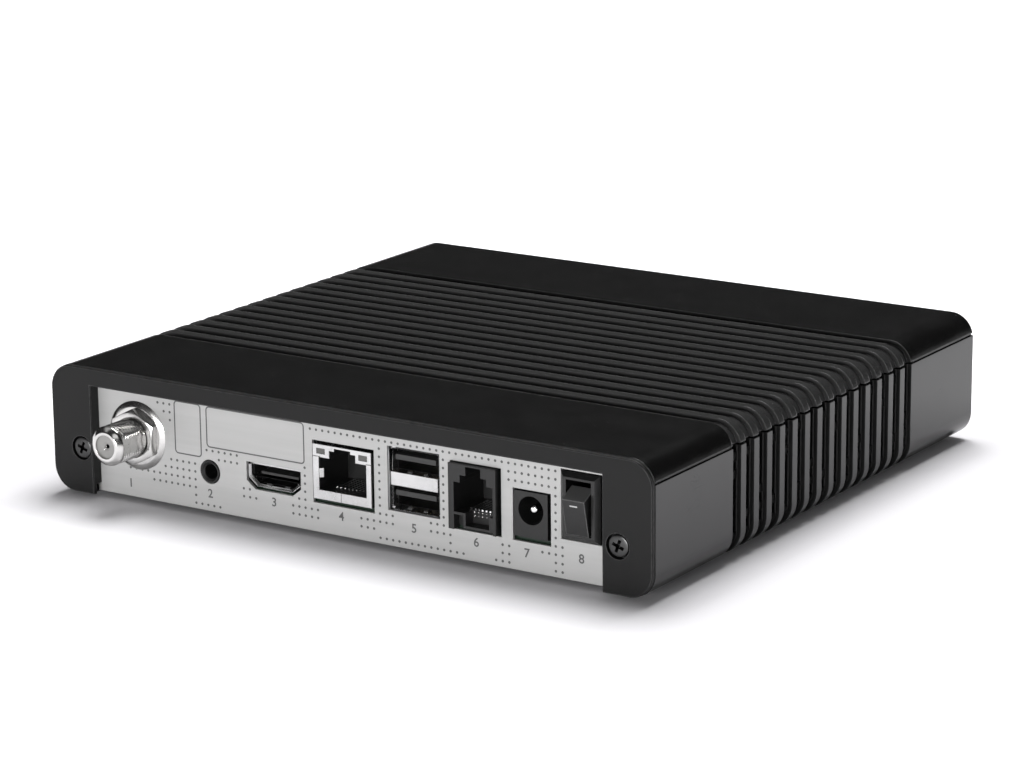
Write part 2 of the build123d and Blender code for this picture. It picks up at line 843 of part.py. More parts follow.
# ---------------------------------------------------------------- network socket
network_front = recess_depth - network_proud
network_widths = (network_mouth, network_step, network_tab)
network_heights = (network_mouth_height, network_step_height, network_tab_height)
lamp_places = [
    (x_at(ports["network"]) + sign * lamp_spread / 2, z_at(board_top + lamp_rise)) for sign in (-1, 1)
]

network_low = board_top + network_lift
network_mouth_across = ports["network"] + network_mouth_shift

with BuildPart() as network_shield:
    block(ports["network"], network_front, network_low, network_width, network_depth, network_height)
    block(
        ports["network"], network_front + network_nose, board_top, network_width,
        network_depth - network_nose, network_lift,
    )
    block(
        ports["network"], network_front + network_sheet, network_low + network_sheet,
        network_width - 2 * network_sheet, network_depth - 2 * network_sheet,
        network_height - 2 * network_sheet, mode=Mode.SUBTRACT,
    )
    with BuildSketch(facing(network_front)):
        stepped_mouth(
            network_mouth_across, board_top + network_floor, network_widths, network_heights,
        )
        with Locations(*lamp_places):
            Rectangle(lamp_width, lamp_height)
    extrude(amount=network_sheet, mode=Mode.SUBTRACT)

with BuildPart() as network_body:
    block(
        ports["network"], network_front + network_sheet, network_low + network_sheet,
        network_width - 2 * network_sheet, network_depth - 2 * network_sheet,
        network_height - 2 * network_sheet,
    )
    with BuildSketch(facing(network_front + network_sheet)):
        stepped_mouth(
            network_mouth_across, board_top + network_floor, network_widths, network_heights,
        )
    extrude(amount=network_cavity_depth, mode=Mode.SUBTRACT)

with BuildPart() as network_lamps:
    with BuildSketch(facing(network_front + network_sheet / 4)):
        with Locations(*lamp_places):
            Rectangle(lamp_width, lamp_height)
    extrude(amount=network_sheet * 3 / 4)


def contact_wires(across_case, floor, front, count):
    """Row of thin contact wires that lie on the floor of a modular socket."""
    for index in range(count):
        offset = (index - (count - 1) / 2) * wire_pitch
        block(across_case + offset, front + wire_sunk, floor, wire_size, wire_length, wire_size)


with BuildPart() as network_contacts:
    contact_wires(network_mouth_across, board_top + network_floor, network_front, network_wires)

# ---------------------------------------------------------------- stacked USB sockets
usb_front = recess_depth + usb_sunk
usb_low = board_top + usb_lift
usb_end = (usb_height - 2 * usb_cavity_height - usb_bar) / 2
usb_floors = [usb_low + usb_end, usb_low + usb_end + usb_cavity_height + usb_bar]

with BuildPart() as usb_shell:
    block(ports["usb"], usb_front, usb_low, usb_width, usb_depth, usb_height)
    block(ports["usb"], usb_front + usb_nose, board_top, usb_width, usb_depth - usb_nose, usb_lift)
    for floor in usb_floors:
        block(
            ports["usb"], usb_front, floor, usb_cavity_width, usb_cavity_depth, usb_cavity_height,
            mode=Mode.SUBTRACT,
        )

with BuildPart() as usb_tongues:
    for floor in usb_floors:
        block(
            ports["usb"], usb_front + usb_tongue_sunk, floor + usb_tongue_rise, usb_tongue_width,
            usb_cavity_depth - usb_tongue_sunk, usb_tongue_t,
        )

with BuildPart() as usb_contacts:
    for floor in usb_floors:
        for index in range(4):
            block(
                ports["usb"] + (index - 1.5) * usb_strip_pitch, usb_front + 2 * usb_tongue_sunk,
                floor + usb_tongue_rise - usb_strip_t, usb_strip_width,
                usb_cavity_depth - 2 * usb_tongue_sunk, usb_strip_t,
            )

# ---------------------------------------------------------------- six-way sensor socket
sensor_front = recess_depth - sensor_proud

sensor_mouth_across = ports["sensor"] + sensor_mouth_shift
sensor_well_across = sensor_mouth_across + sensor_well_shift
sensor_well_low = board_top + sensor_floor - sensor_well_depth

with BuildPart() as sensor_socket:
    block(ports["sensor"], sensor_front, board_top, sensor_width, sensor_depth, sensor_height)
    block(
        ports["sensor"], sensor_front, board_top - sensor_foot, sensor_width,
        board_rear - fit_gap - sensor_front, sensor_foot,
    )
    with BuildSketch(facing(sensor_front)):
        stepped_mouth(
            sensor_mouth_across, board_top + sensor_floor, (sensor_mouth, sensor_step, sensor_tab),
            (sensor_mouth_height, sensor_step_height, sensor_tab_height),
        )
    extrude(amount=sensor_cavity_depth, mode=Mode.SUBTRACT)
    block(
        sensor_well_across, sensor_front, sensor_well_low, sensor_well, sensor_well_reach,
        sensor_well_depth, mode=Mode.SUBTRACT,
    )
    # open space between the legs, beside and under the well
    well_start = sensor_well_across - sensor_well / 2 - sensor_bar
    mouth_start = sensor_mouth_across - sensor_mouth / 2
    mouth_stop = sensor_mouth_across + sensor_mouth / 2
    below = board_top - sensor_foot
    block(
        (mouth_start + well_start) / 2, sensor_front, below, well_start - mouth_start, sensor_notch,
        board_top + sensor_floor - sensor_bar - below, mode=Mode.SUBTRACT,
    )
    block(
        (well_start + mouth_stop) / 2, sensor_front, below, mouth_stop - well_start, sensor_notch,
        sensor_well_low - sensor_bar - below, mode=Mode.SUBTRACT,
    )

with BuildPart() as sensor_contacts:
    contact_wires(sensor_mouth_across, board_top + sensor_floor, sensor_front, sensor_wires)

# ---------------------------------------------------------------- power inlet
power_front = recess_depth - power_proud
power_place = (x_at(ports["power"]), z_at(board_top + power_axis_rise))

with BuildPart() as power_inlet:
    block(
        ports["power"], power_front, board_top + power_lift, power_width, power_depth, power_height,
    )
    block(
        ports["power"], power_front + power_nose, board_top, power_width, power_depth - power_nose,
        power_lift,
    )
    with BuildSketch(facing(power_front)):
        with Locations(power_place):
            Circle(power_bore_d / 2)
    extrude(amount=power_bore_depth, mode=Mode.SUBTRACT)

with BuildPart() as power_pin:
    with BuildSketch(facing(power_front + power_pin_sunk)):
        with Locations(power_place):
            Circle(power_pin_d / 2)
    extrude(amount=power_bore_depth - power_pin_sunk)
    pin_tip = power_pin.edges().filter_by(GeomType.CIRCLE).group_by(Axis.Y)[-1]
    fillet(pin_tip, power_pin_d * 0.3)

# ---------------------------------------------------------------- rocker switch
switch_front = recess_depth - switch_proud
switch_low = board_top + switch_lift
pivot_high = switch_low + switch_height / 2
pivot_deep = recess_depth + pivot_sunk
switch_well = switch_height - 2 * switch_end_wall

with BuildPart() as switch_housing:
    block(ports["switch"], switch_front, switch_low, switch_width, switch_depth, switch_height)
    chamfer(switch_housing.faces().sort_by(Axis.Y)[-1].edges(), switch_bevel)
    block(
        ports["switch"], switch_front + switch_nose, board_top, switch_width,
        switch_depth - switch_nose, switch_lift,
    )
    block(
        ports["switch"], switch_front, switch_low + switch_end_wall,
        switch_width - 2 * switch_wall, switch_cavity_depth, switch_well, mode=Mode.SUBTRACT,
    )
    with BuildSketch(Plane.YZ.offset(x_at(ports["switch"]))):
        with Locations((y_at(pivot_deep), z_at(pivot_high))):
            Circle(pivot_d / 2 + pivot_clear)
    extrude(amount=switch_width / 2, both=True, mode=Mode.SUBTRACT)

with BuildPart() as switch_pivot:
    with BuildSketch(Plane.YZ.offset(x_at(ports["switch"]))):
        with Locations((y_at(pivot_deep), z_at(pivot_high))):
            Circle(pivot_d / 2)
    extrude(amount=switch_width / 2 - fit_gap, both=True)


def on_rocker(along, rise):
    """Point of the tilted rocker: along its face, upwards, and out from the pivot."""
    tilt = radians(rocker_tilt)
    return (
        y_at(pivot_deep) + rise * cos(tilt) + along * sin(tilt),
        z_at(pivot_high) + along * cos(tilt) - rise * sin(tilt),
    )


with BuildPart() as switch_rocker:
    with BuildSketch(Plane.YZ.offset(x_at(ports["switch"]))):
        Polygon(
            on_rocker(rocker_face / 2, rocker_face_rise),
            on_rocker(rocker_shoulder / 2, rocker_shoulder_rise),
            on_rocker(rocker_heel / 2, -rocker_heel_drop),
            on_rocker(-rocker_heel / 2, -rocker_heel_drop),
            on_rocker(-rocker_shoulder / 2, rocker_shoulder_rise),
            on_rocker(-rocker_face / 2, rocker_face_rise),
            align=None,
        )
        with Locations((y_at(pivot_deep), z_at(pivot_high))):
            Circle(pivot_d / 2 + pivot_clear, mode=Mode.SUBTRACT)
    extrude(amount=rocker_width / 2, both=True)

with BuildPart() as switch_terminals:
    terminal_front = switch_front + switch_depth
    for index in range(3):
        block(
            ports["switch"], terminal_front, switch_low + (index + 0.5) * terminal_pitch,
            terminal_width, 2 * terminal_width, terminal_t,
        )

# ---------------------------------------------------------------- parts on the board
chip_across = case_width / 2

with BuildPart() as main_chip:
    block(chip_across, chip_deep - chip_size / 2, board_top, chip_size, chip_size, chip_t)

with BuildPart() as heat_sink:
    sink_rear = chip_deep - sink_size / 2
    block(chip_across, sink_rear, board_top + chip_t, sink_size, sink_size, sink_base)
    for index in range(fin_count):
        fin_across = chip_across + (index / (fin_count - 1) - 0.5) * (sink_size - fin_t)
        block(fin_across, sink_rear, board_top + chip_t, fin_t, sink_size, sink_height)

with BuildPart() as memory_chips:
    for sign in (-1, 1):
        block(
            chip_across - sink_size / 2 - memory_gap - memory_width / 2,
            chip_deep + sign * (memory_length + memory_gap) / 2 - memory_length / 2,
            board_top, memory_width, memory_length, memory_t,
        )

with BuildPart() as flash_chip:
    block(
        chip_across + sink_size / 2 + memory_gap + flash_width / 2, chip_deep - flash_length / 2,
        board_top, flash_width, flash_length, memory_t,
    )

transformer_rear = network_front + network_depth + part_gap
with BuildPart() as network_transformer:
    block(
        ports["network"], transformer_rear, board_top, transformer_width, transformer_length,
        transformer_height,
    )

with BuildPart() as crystal:
    block(
        chip_across + sink_size / 2 + memory_gap + crystal_width / 2,
        chip_deep + flash_length / 2 + part_gap, board_top, crystal_width, crystal_t, crystal_height,
    )

coil_rear = switch_front + switch_depth + 2 * terminal_width + part_gap
capacitor_rear = coil_rear + coil_size + part_gap
with BuildPart() as power_coils:
    for index in range(3):
        block(
            ports["power"] + (index - 1) * (coil_size + part_gap), coil_rear, board_top,
            coil_size, coil_size, coil_height,
        )

with BuildPart() as power_capacitors:
    with BuildSketch(level(board_top)):
        for index in range(capacitor_count):
            offset = (index - (capacitor_count - 1) / 2) * (capacitor_d + part_gap)
            with Locations((x_at(ports["power"] + offset), y_at(capacitor_rear + capacitor_d / 2))):
                Circle(capacitor_d / 2)
    extrude(amount=capacitor_height)

# ---------------------------------------------------------------- front
front_mid = case_height / 2
window_cut = window_width_front + 2 * fit_gap

with BuildPart() as front_panel:
    with BuildSketch(facing(front_back)):
        case_section(wall + fit_gap)
        with Locations((0, z_at(front_mid))):
            Rectangle(window_width_front - 2 * window_lip, window_height_front - 2 * window_lip,
                      mode=Mode.SUBTRACT)
    extrude(amount=front_sheet)
    with BuildSketch(facing(front_back + front_sheet / 2)):
        with Locations((0, z_at(front_mid))):
            Rectangle(window_cut, window_height_front + 2 * fit_gap)
    extrude(amount=front_sheet, mode=Mode.SUBTRACT)

with BuildPart() as front_window:
    with BuildSketch(facing(front_back + front_sheet / 2)):
        with Locations((0, z_at(front_mid))):
            Rectangle(window_width_front, window_height_front)
    extrude(amount=front_sheet / 2)

with BuildPart() as front_board:
    block(
        case_width / 2, front_board_deep, wall, front_board_width - 2 * fit_gap, front_board_t,
        front_board_height,
    )

receiver_across = case_width / 2 - window_width_front / 4
light_across = case_width / 2 + window_width_front / 4
with BuildPart() as remote_receiver:
    block(
        receiver_across, front_board_deep + front_board_t, front_mid - receiver_height / 2,
        receiver_width, receiver_depth, receiver_height,
    )

with BuildPart() as status_light:
    with BuildSketch(facing(front_board_deep + front_board_t)):
        with Locations((x_at(light_across), z_at(front_mid))):
            Circle(light_d / 2)
    extrude(amount=light_length)
    dome = status_light.edges().filter_by(GeomType.CIRCLE).group_by(Axis.Y)[0]
    fillet(dome, light_d * 0.45)

board_header_rear = board_front - 2 * header_depth
front_header_rear = front_board_deep - header_depth
with BuildPart() as board_header:
    block(
        case_width / 2, board_header_rear, board_top, header_width, header_depth, header_height,
    )

with BuildPart() as front_header:
    block(
        case_width / 2, front_header_rear, board_top, header_width, header_depth, header_height,
    )

with BuildPart() as ribbon_cable:
    block(
        case_width / 2, board_header_rear + header_depth, board_top + header_height / 2,
        ribbon_width, front_header_rear - board_header_rear - header_depth, ribbon_t,
    )

# ---------------------------------------------------------------- write every piece
pieces = {
    "top_cover": top_cover,
    "base_case": base_case,
    "rear_frame": rear_frame,
    "rear_panel": rear_panel,
    "rear_frame_screws": rear_frame_screws,
    "base_screws": base_screws,
    "board_screws": board_screws,
    "rubber_feet": rubber_feet,
    "main_board": main_board,
    "tuner_can": tuner_can,
    "tuner_lid": tuner_lid,
    "antenna_barrel": antenna_barrel,
    "antenna_insulator": antenna_insulator,
    "antenna_contact": antenna_contact,
    "antenna_nut": antenna_nut,
    "antenna_washer": antenna_washer,
    "av_jack": av_jack,
    "hdmi_shell": hdmi_shell,
    "hdmi_tongue": hdmi_tongue,
    "network_shield": network_shield,
    "network_body": network_body,
    "network_lamps": network_lamps,
    "network_contacts": network_contacts,
    "usb_shell": usb_shell,
    "usb_tongues": usb_tongues,
    "usb_contacts": usb_contacts,
    "sensor_socket": sensor_socket,
    "sensor_contacts": sensor_contacts,
    "power_inlet": power_inlet,
    "power_pin": power_pin,
    "switch_housing": switch_housing,
    "switch_pivot": switch_pivot,
    "switch_rocker": switch_rocker,
    "switch_terminals": switch_terminals,
    "main_chip": main_chip,
    "heat_sink": heat_sink,
    "memory_chips": memory_chips,
    "flash_chip": flash_chip,
    "network_transformer": network_transformer,
    "crystal": crystal,
    "power_coils": power_coils,
    "power_capacitors": power_capacitors,
    "front_panel": front_panel,
    "front_window": front_window,
    "front_board": front_board,
    "remote_receiver": remote_receiver,
    "status_light": status_light,
    "board_header": board_header,
    "front_header": front_header,
    "ribbon_cable": ribbon_cable,
}
for piece_name, piece in pieces.items():
    piece.part.label = piece_name
    export_step(piece.part, f"parts/{piece_name}.step")
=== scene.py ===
import json
from math import cos, pi, radians, sin

import bmesh
import bpy
from mathutils import Matrix, Vector


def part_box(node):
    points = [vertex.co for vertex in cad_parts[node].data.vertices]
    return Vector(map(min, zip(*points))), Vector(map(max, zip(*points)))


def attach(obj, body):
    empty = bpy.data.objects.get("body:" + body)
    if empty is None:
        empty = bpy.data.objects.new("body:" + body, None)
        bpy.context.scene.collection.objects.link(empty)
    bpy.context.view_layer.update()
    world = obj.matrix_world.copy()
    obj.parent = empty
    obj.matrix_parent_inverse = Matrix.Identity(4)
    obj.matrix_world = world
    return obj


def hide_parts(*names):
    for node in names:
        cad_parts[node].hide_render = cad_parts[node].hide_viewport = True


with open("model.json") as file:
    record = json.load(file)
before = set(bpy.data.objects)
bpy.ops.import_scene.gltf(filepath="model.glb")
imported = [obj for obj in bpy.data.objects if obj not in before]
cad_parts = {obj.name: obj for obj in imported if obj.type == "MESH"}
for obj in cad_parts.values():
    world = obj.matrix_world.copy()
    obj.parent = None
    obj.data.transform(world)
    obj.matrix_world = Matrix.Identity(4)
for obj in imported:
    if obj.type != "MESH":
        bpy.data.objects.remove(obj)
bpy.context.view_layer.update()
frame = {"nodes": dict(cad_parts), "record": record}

# Satellite receiver.  Lengths in the tables below are millimetres, "across" is measured from the
# aerial side of the case, "proud" outwards from the connector panel's face, "high" from the
# underside of the case.
MM = 0.001
case_low, case_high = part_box("base_case")
panel_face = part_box("rear_panel")[1].y


def spot(across, proud, high):
    """Point of the connector panel in metres."""
    return Vector((case_high.x - across * MM, panel_face + proud * MM, case_low.z + high * MM))


def middle(node):
    """Centre of a CAD node's box."""
    low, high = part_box(node)
    return (low + high) / 2


def depths_of(node):
    """How far a CAD node's back and front stand proud of the connector panel."""
    low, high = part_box(node)
    return (low.y - panel_face) / MM, (high.y - panel_face) / MM


def edges_of(node):
    """A CAD node's limits as (across, across, high, high)."""
    low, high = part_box(node)
    return (
        (case_high.x - high.x) / MM, (case_high.x - low.x) / MM,
        (low.z - case_low.z) / MM, (high.z - case_low.z) / MM,
    )


# ------------------------------------------------------------------ node tools
def put(tree, kind, inputs=None, **settings):
    """Adds a shader node, sets its own settings, then sets or links the inputs that are given."""
    made = tree.nodes.new("ShaderNode" + kind)
    for key, value in settings.items():
        setattr(made, key, value)
    for key, value in (inputs or {}).items():
        if isinstance(value, bpy.types.NodeSocket):
            tree.links.new(value, made.inputs[key])
        else:
            made.inputs[key].default_value = value
    return made


def maths(tree, operation, first, second=0.0, third=0.0, clamp=False):
    """Result of one Math node."""
    inputs = {0: first, 1: second, 2: third}
    return put(tree, "Math", inputs, operation=operation, use_clamp=clamp).outputs[0]


def vectors(tree, operation, first, second=(0.0, 0.0, 0.0), result="Vector"):
    """Result of one Vector Math node."""
    return put(tree, "VectorMath", {0: first, 1: second}, operation=operation).outputs[result]


def spread(tree, value, low, high, to_low=0.0, to_high=1.0):
    """Value stretched from one range to another, and held inside it."""
    inputs = {
        "Value": value, "From Min": low, "From Max": high, "To Min": to_low, "To Max": to_high,
    }
    return put(tree, "MapRange", inputs).outputs["Result"]


def blended(tree, mask, first, second):
    """Colour that runs from the first to the second with a mask; a plain number is a grey."""
    inputs = {0: mask, 6: first, 7: second}
    for key in (6, 7):
        if isinstance(inputs[key], float):
            inputs[key] = (inputs[key],) * 3
        if isinstance(inputs[key], tuple):
            inputs[key] = (*inputs[key], 1.0)
    return put(tree, "Mix", inputs, data_type="RGBA").outputs[2]


def noise(tree, where, scale, detail, roughness=0.5, distortion=0.0):
    """Value of one Noise Texture node."""
    inputs = {
        "Vector": where, "Scale": scale, "Detail": detail, "Roughness": roughness,
        "Distortion": distortion,
    }
    return put(tree, "TexNoise", inputs).outputs[0]


def own_space(tree):
    """Place of the shaded point in its piece's own space."""
    return put(tree, "TexCoord").outputs["Object"]


def component(tree, vector, axis):
    """One component of a vector."""
    return put(tree, "SeparateXYZ", {"Vector": vector}).outputs[axis]


def per_metre(tree, millimetres):
    """Texture scale for features of a size in millimetres."""
    return maths(tree, "DIVIDE", 1000.0, millimetres)


def patches(tree, value, cover, bare, fall, blend):
    """Mask of the places where a value passes a level, which falls from bare as cover grows."""
    level = maths(tree, "SUBTRACT", bare, maths(tree, "MULTIPLY", cover, fall))
    return spread(tree, value, level, maths(tree, "ADD", level, blend))


def effect(name, **inputs):
    """Makes a node group of a function that adds nodes and returns the outputs by name."""
    def build(body):
        tree = bpy.data.node_groups.new(name, "ShaderNodeTree")
        for label, value in inputs.items():
            socket = tree.interface.new_socket(label, in_out="INPUT", socket_type="NodeSocketFloat")
            socket.default_value = value
        outputs = body(tree, tree.nodes.new("NodeGroupInput").outputs)
        for label in outputs:
            kind = "NodeSocketVector" if label == "Normal" else "NodeSocketFloat"
            tree.interface.new_socket(label, in_out="OUTPUT", socket_type=kind)
        ends = tree.nodes.new("NodeGroupOutput").inputs
        for label, value in outputs.items():
            tree.links.new(value, ends[label])
        return tree

    return build


def place_effect(tree, group, **inputs):
    """Places a node group, with the inputs that are given set or linked."""
    return put(tree, "Group", inputs, node_tree=group).outputs


# ------------------------------------------------------------------ shared effects
@effect("Soft edge", Radius=0.2)
def soft_edge(tree, given):
    """Rounds sharp edges by a radius in millimetres, and marks where they are."""
    radius = maths(tree, "MULTIPLY", given["Radius"], MM)
    softened = put(tree, "Bevel", {"Radius": radius}, samples=6).outputs["Normal"]
    flat = put(tree, "NewGeometry").outputs["Normal"]
    same = vectors(tree, "DOT_PRODUCT", softened, flat, result="Value")
    return {"Normal": softened, "Edge": spread(tree, same, 0.995, 0.86)}


@effect("Moulded grain", Grain=0.4)
def moulded_grain(tree, given):
    """Spark-eroded mould texture: rounded pits between low ridges."""
    where = own_space(tree)
    scale = per_metre(tree, given["Grain"])
    inputs = {"Vector": where, "Scale": scale, "Smoothness": 0.6}
    pits = put(tree, "TexVoronoi", inputs, feature="SMOOTH_F1").outputs["Distance"]
    ridges = maths(tree, "MULTIPLY", noise(tree, where, scale, 3.0, 0.6), 0.6)
    cloud = noise(tree, where, maths(tree, "DIVIDE", scale, 24.0), 4.0, 0.7)
    return {
        "Height": maths(tree, "MULTIPLY_ADD", pits, 0.7, ridges),
        "Tone": spread(tree, cloud, 0.3, 0.7),
    }


@effect("Handling marks", Size=18.0, Cover=0.5)
def handling_marks(tree, given):
    """Soft smears left by hands and cloths, at a size in millimetres."""
    where = own_space(tree)
    scale = per_metre(tree, given["Size"])
    smears = noise(tree, where, scale, 5.0, 0.62, 0.9)
    wiped = put(tree, "Mapping", {"Vector": where, "Scale": (0.25, 1.6, 1.0)}).outputs["Vector"]
    strokes = noise(tree, wiped, maths(tree, "MULTIPLY", scale, 2.6), 3.0)
    both = maths(tree, "MULTIPLY_ADD", smears, 0.65, maths(tree, "MULTIPLY", strokes, 0.35))
    return {"Mask": patches(tree, both, given["Cover"], 0.68, 0.32, 0.2)}


@effect("Hairlines", Spacing=0.6, Cover=0.3)
def hairlines(tree, given):
    """Fine scratches in two directions; only some stretches of each line show."""
    where = own_space(tree)
    scale = per_metre(tree, given["Spacing"])
    lines = []
    for turn, stretch in ((radians(24), 0.035), (radians(-51), 0.05)):
        inputs = {
            "Vector": where, "Rotation": (turn * 0.4, turn * 0.3, turn),
            "Scale": (1.0, stretch, 1.0),
        }
        turned = put(tree, "Mapping", inputs).outputs["Vector"]
        off_line = maths(tree, "SUBTRACT", noise(tree, turned, scale, 1.0, distortion=0.1), 0.5)
        lines.append(spread(tree, maths(tree, "ABSOLUTE", off_line), 0.012, 0.0))
    stretches = noise(tree, where, maths(tree, "DIVIDE", scale, 14.0), 2.0)
    shown = patches(tree, stretches, given["Cover"], 0.72, 0.4, 0.15)
    return {"Mask": maths(tree, "MULTIPLY", maths(tree, "MAXIMUM", *lines), shown)}


@effect("Brushed lines", Width=0.12, Length=30.0)
def brushed_lines(tree, given):
    """Grinding lines along the width of a sheet, with a slow change of tone across it."""
    ratio = maths(tree, "DIVIDE", given["Width"], given["Length"])
    stretch = put(tree, "CombineXYZ", {"X": ratio, "Y": 1.0, "Z": 1.0}).outputs["Vector"]
    drawn = vectors(tree, "MULTIPLY", own_space(tree), stretch)
    scale = per_metre(tree, given["Width"])
    bands = noise(tree, drawn, maths(tree, "DIVIDE", scale, 9.0), 3.0)
    return {
        "Height": noise(tree, drawn, scale, 4.0, 0.75), "Tone": spread(tree, bands, 0.32, 0.68),
    }


@effect("Settled dust", Speck=0.25, Cover=0.15)
def settled_dust(tree, given):
    """Specks of dust and lint, which lie only on what faces upwards."""
    scale = maths(tree, "DIVIDE", per_metre(tree, given["Speck"]), 4.0)
    inputs = {"Vector": own_space(tree), "Scale": scale, "Randomness": 1.0}
    cells = put(tree, "TexVoronoi", inputs, feature="F1").outputs
    speck = spread(tree, cells["Distance"], 0.16, 0.05)
    chance = put(tree, "SeparateColor", {"Color": cells["Color"]}).outputs[0]
    rare = maths(tree, "LESS_THAN", chance, given["Cover"])
    upward = component(tree, put(tree, "NewGeometry").outputs["Normal"], "Z")
    speck = maths(tree, "MULTIPLY", speck, rare)
    return {"Mask": maths(tree, "MULTIPLY", speck, spread(tree, upward, 0.5, 0.9))}


@effect("Groove walls", Start=0.35, Full=0.8)
def groove_walls(tree, given):
    """Marks the walls that face along the depth of the case, where the mould left them rougher."""
    along = component(tree, put(tree, "NewGeometry").outputs["Normal"], "Y")
    steep = maths(tree, "ABSOLUTE", along)
    return {"Mask": spread(tree, steep, given["Start"], given["Full"])}


@effect("Ribbed band", Front=-47.4, Rear=37.8, Blend=0.5)
def ribbed_band(tree, given):
    """Marks the band of ribs round the middle of the case, between the two smooth ends."""
    along = maths(tree, "MULTIPLY", component(tree, own_space(tree), "Y"), 1.0 / MM)
    past_front, past_rear = (
        spread(tree, along, given[end], maths(tree, "ADD", given[end], given["Blend"]))
        for end in ("Front", "Rear")
    )
    return {"Mask": maths(tree, "SUBTRACT", past_front, past_rear, clamp=True)}


@effect("Upper faces", Start=0.3, Full=0.75)
def upper_faces(tree, given):
    """Marks the faces that look upwards, which are painted paler as if lit from above."""
    upward = component(tree, put(tree, "TexCoord").outputs["Normal"], "Z")
    return {"Mask": spread(tree, upward, given["Start"], given["Full"])}


@effect("Edge wear and light", Edge=0.0, Size=1.2, Amount=0.5)
def edge_wear_and_light(tree, given):
    """Broken mask that follows an edge mask, for edge wear and for painted edge highlights."""
    wear = noise(tree, own_space(tree), per_metre(tree, given["Size"]), 4.0, 0.7)
    broken = patches(tree, wear, given["Amount"], 0.7, 0.45, 0.18)
    return {"Mask": maths(tree, "MULTIPLY", broken, given["Edge"])}


@effect("Plating", Wave=1.6, Pore=0.12)
def plating(tree, given):
    """Gentle waves and fine pores of plated or drawn metal, with a slow tarnish."""
    where = own_space(tree)
    waves = noise(tree, where, per_metre(tree, given["Wave"]), 2.0)
    pores = noise(tree, where, per_metre(tree, given["Pore"]), 3.0)
    slow = maths(tree, "MULTIPLY", given["Wave"], 2.5)
    clouds = noise(tree, where, per_metre(tree, slow), 5.0, 0.65)
    return {
        "Height": maths(tree, "MULTIPLY_ADD", pores, 0.25, waves),
        "Tarnish": spread(tree, clouds, 0.42, 0.72),
    }


# ------------------------------------------------------------------ finishes
def blank_material(name):
    """Material with an empty node tree."""
    material = bpy.data.materials.new(name)
    material.use_nodes = True
    material.node_tree.nodes.clear()
    return material, material.node_tree


def blank_finish(name, metallic=0.0, ior=1.5, specular=0.5, coat=0.0, coat_roughness=0.05):
    """Material with one Principled shader; its plain numbers stay on the shader's sockets."""
    material, tree = blank_material(name)
    inputs = {
        "Metallic": metallic, "IOR": ior, "Specular IOR Level": specular,
        "Coat Weight": coat, "Coat Roughness": coat_roughness,
    }
    shader = put(tree, "BsdfPrincipled", inputs)
    put(tree, "OutputMaterial", {"Surface": shader.outputs["BSDF"]})
    return material, tree, shader.inputs


def dress(tree, shader, colour, gloss, height, strength, depth, normal=None):
    """Links colour, roughness and a height; the height, in millimetres, lies over the normal."""
    inputs = {"Height": height, "Strength": strength, "Distance": depth * MM}
    if normal is not None:
        inputs["Normal"] = normal
    bump = put(tree, "Bump", inputs).outputs["Normal"]
    for key, value in (("Base Color", colour), ("Roughness", gloss), ("Normal", bump)):
        tree.links.new(value, shader[key])


def plastic(
    name, dark, light, rough, grain=0.4, depth=0.02, edge=0.2, rub_and_edge_light=0.0, rubbed_and_edge_lit=0.1, marks=0.3,
    dust=0.0, scratches=0.0, specular=0.5, walls=0.0, rib_band_painted_light=None, painted_top_light=None,
):
    """Moulded plastic: grain, uneven gloss, soft edges, wear, marks, dust and scratches, and
    painted light: paler edges, a paler band over the ribs and paler upper faces.
    """
    material, tree, shader = blank_finish(name, specular=specular)
    edges = place_effect(tree, soft_edge, Radius=edge)
    texture = place_effect(tree, moulded_grain, Grain=grain)
    colour = blended(tree, texture["Tone"], dark, light)
    gloss = spread(tree, texture["Tone"], 0.0, 1.0, *rough)
    smears = place_effect(tree, handling_marks, Size=22.0, Cover=marks)["Mask"]
    gloss = maths(tree, "MULTIPLY_ADD", smears, 0.35 * (rough[1] - rough[0]) + 0.02, gloss)
    # painted light: a paler colour over the band of ribs stands in for light on the groove walls
    if rib_band_painted_light:
        colour = blended(tree, place_effect(tree, ribbed_band)["Mask"], colour, rib_band_painted_light)
    # painted light: faces that look upwards are painted paler, as if lit from above
    if painted_top_light:
        colour = blended(tree, place_effect(tree, upper_faces)["Mask"], colour, painted_top_light)
    # paler edges: partly wear, partly a painted highlight along the edges
    if rub_and_edge_light:
        worn_and_edge_lit = place_effect(tree, edge_wear_and_light, Edge=edges["Edge"], Amount=rub_and_edge_light)["Mask"]
        colour = blended(tree, worn_and_edge_lit, colour, rubbed_and_edge_lit)
        gloss = maths(tree, "MULTIPLY_ADD", worn_and_edge_lit, -0.08, gloss)
    if walls:
        rougher = place_effect(tree, groove_walls)["Mask"]
        gloss = maths(tree, "MULTIPLY_ADD", rougher, walls, gloss)
    height = texture["Height"]
    if scratches:
        lines = place_effect(tree, hairlines, Cover=scratches)["Mask"]
        gloss = maths(tree, "MULTIPLY_ADD", lines, 0.12, gloss)
        height = maths(tree, "MULTIPLY_ADD", lines, -0.3, height)
    if dust:
        specks = place_effect(tree, settled_dust, Cover=dust)["Mask"]
        colour = blended(tree, maths(tree, "MULTIPLY", specks, 0.5), colour, 0.32)
        gloss = maths(tree, "MULTIPLY_ADD", specks, 0.3, gloss, clamp=True)
    dress(tree, shader, colour, gloss, height, 0.5, depth, edges["Normal"])
    return material


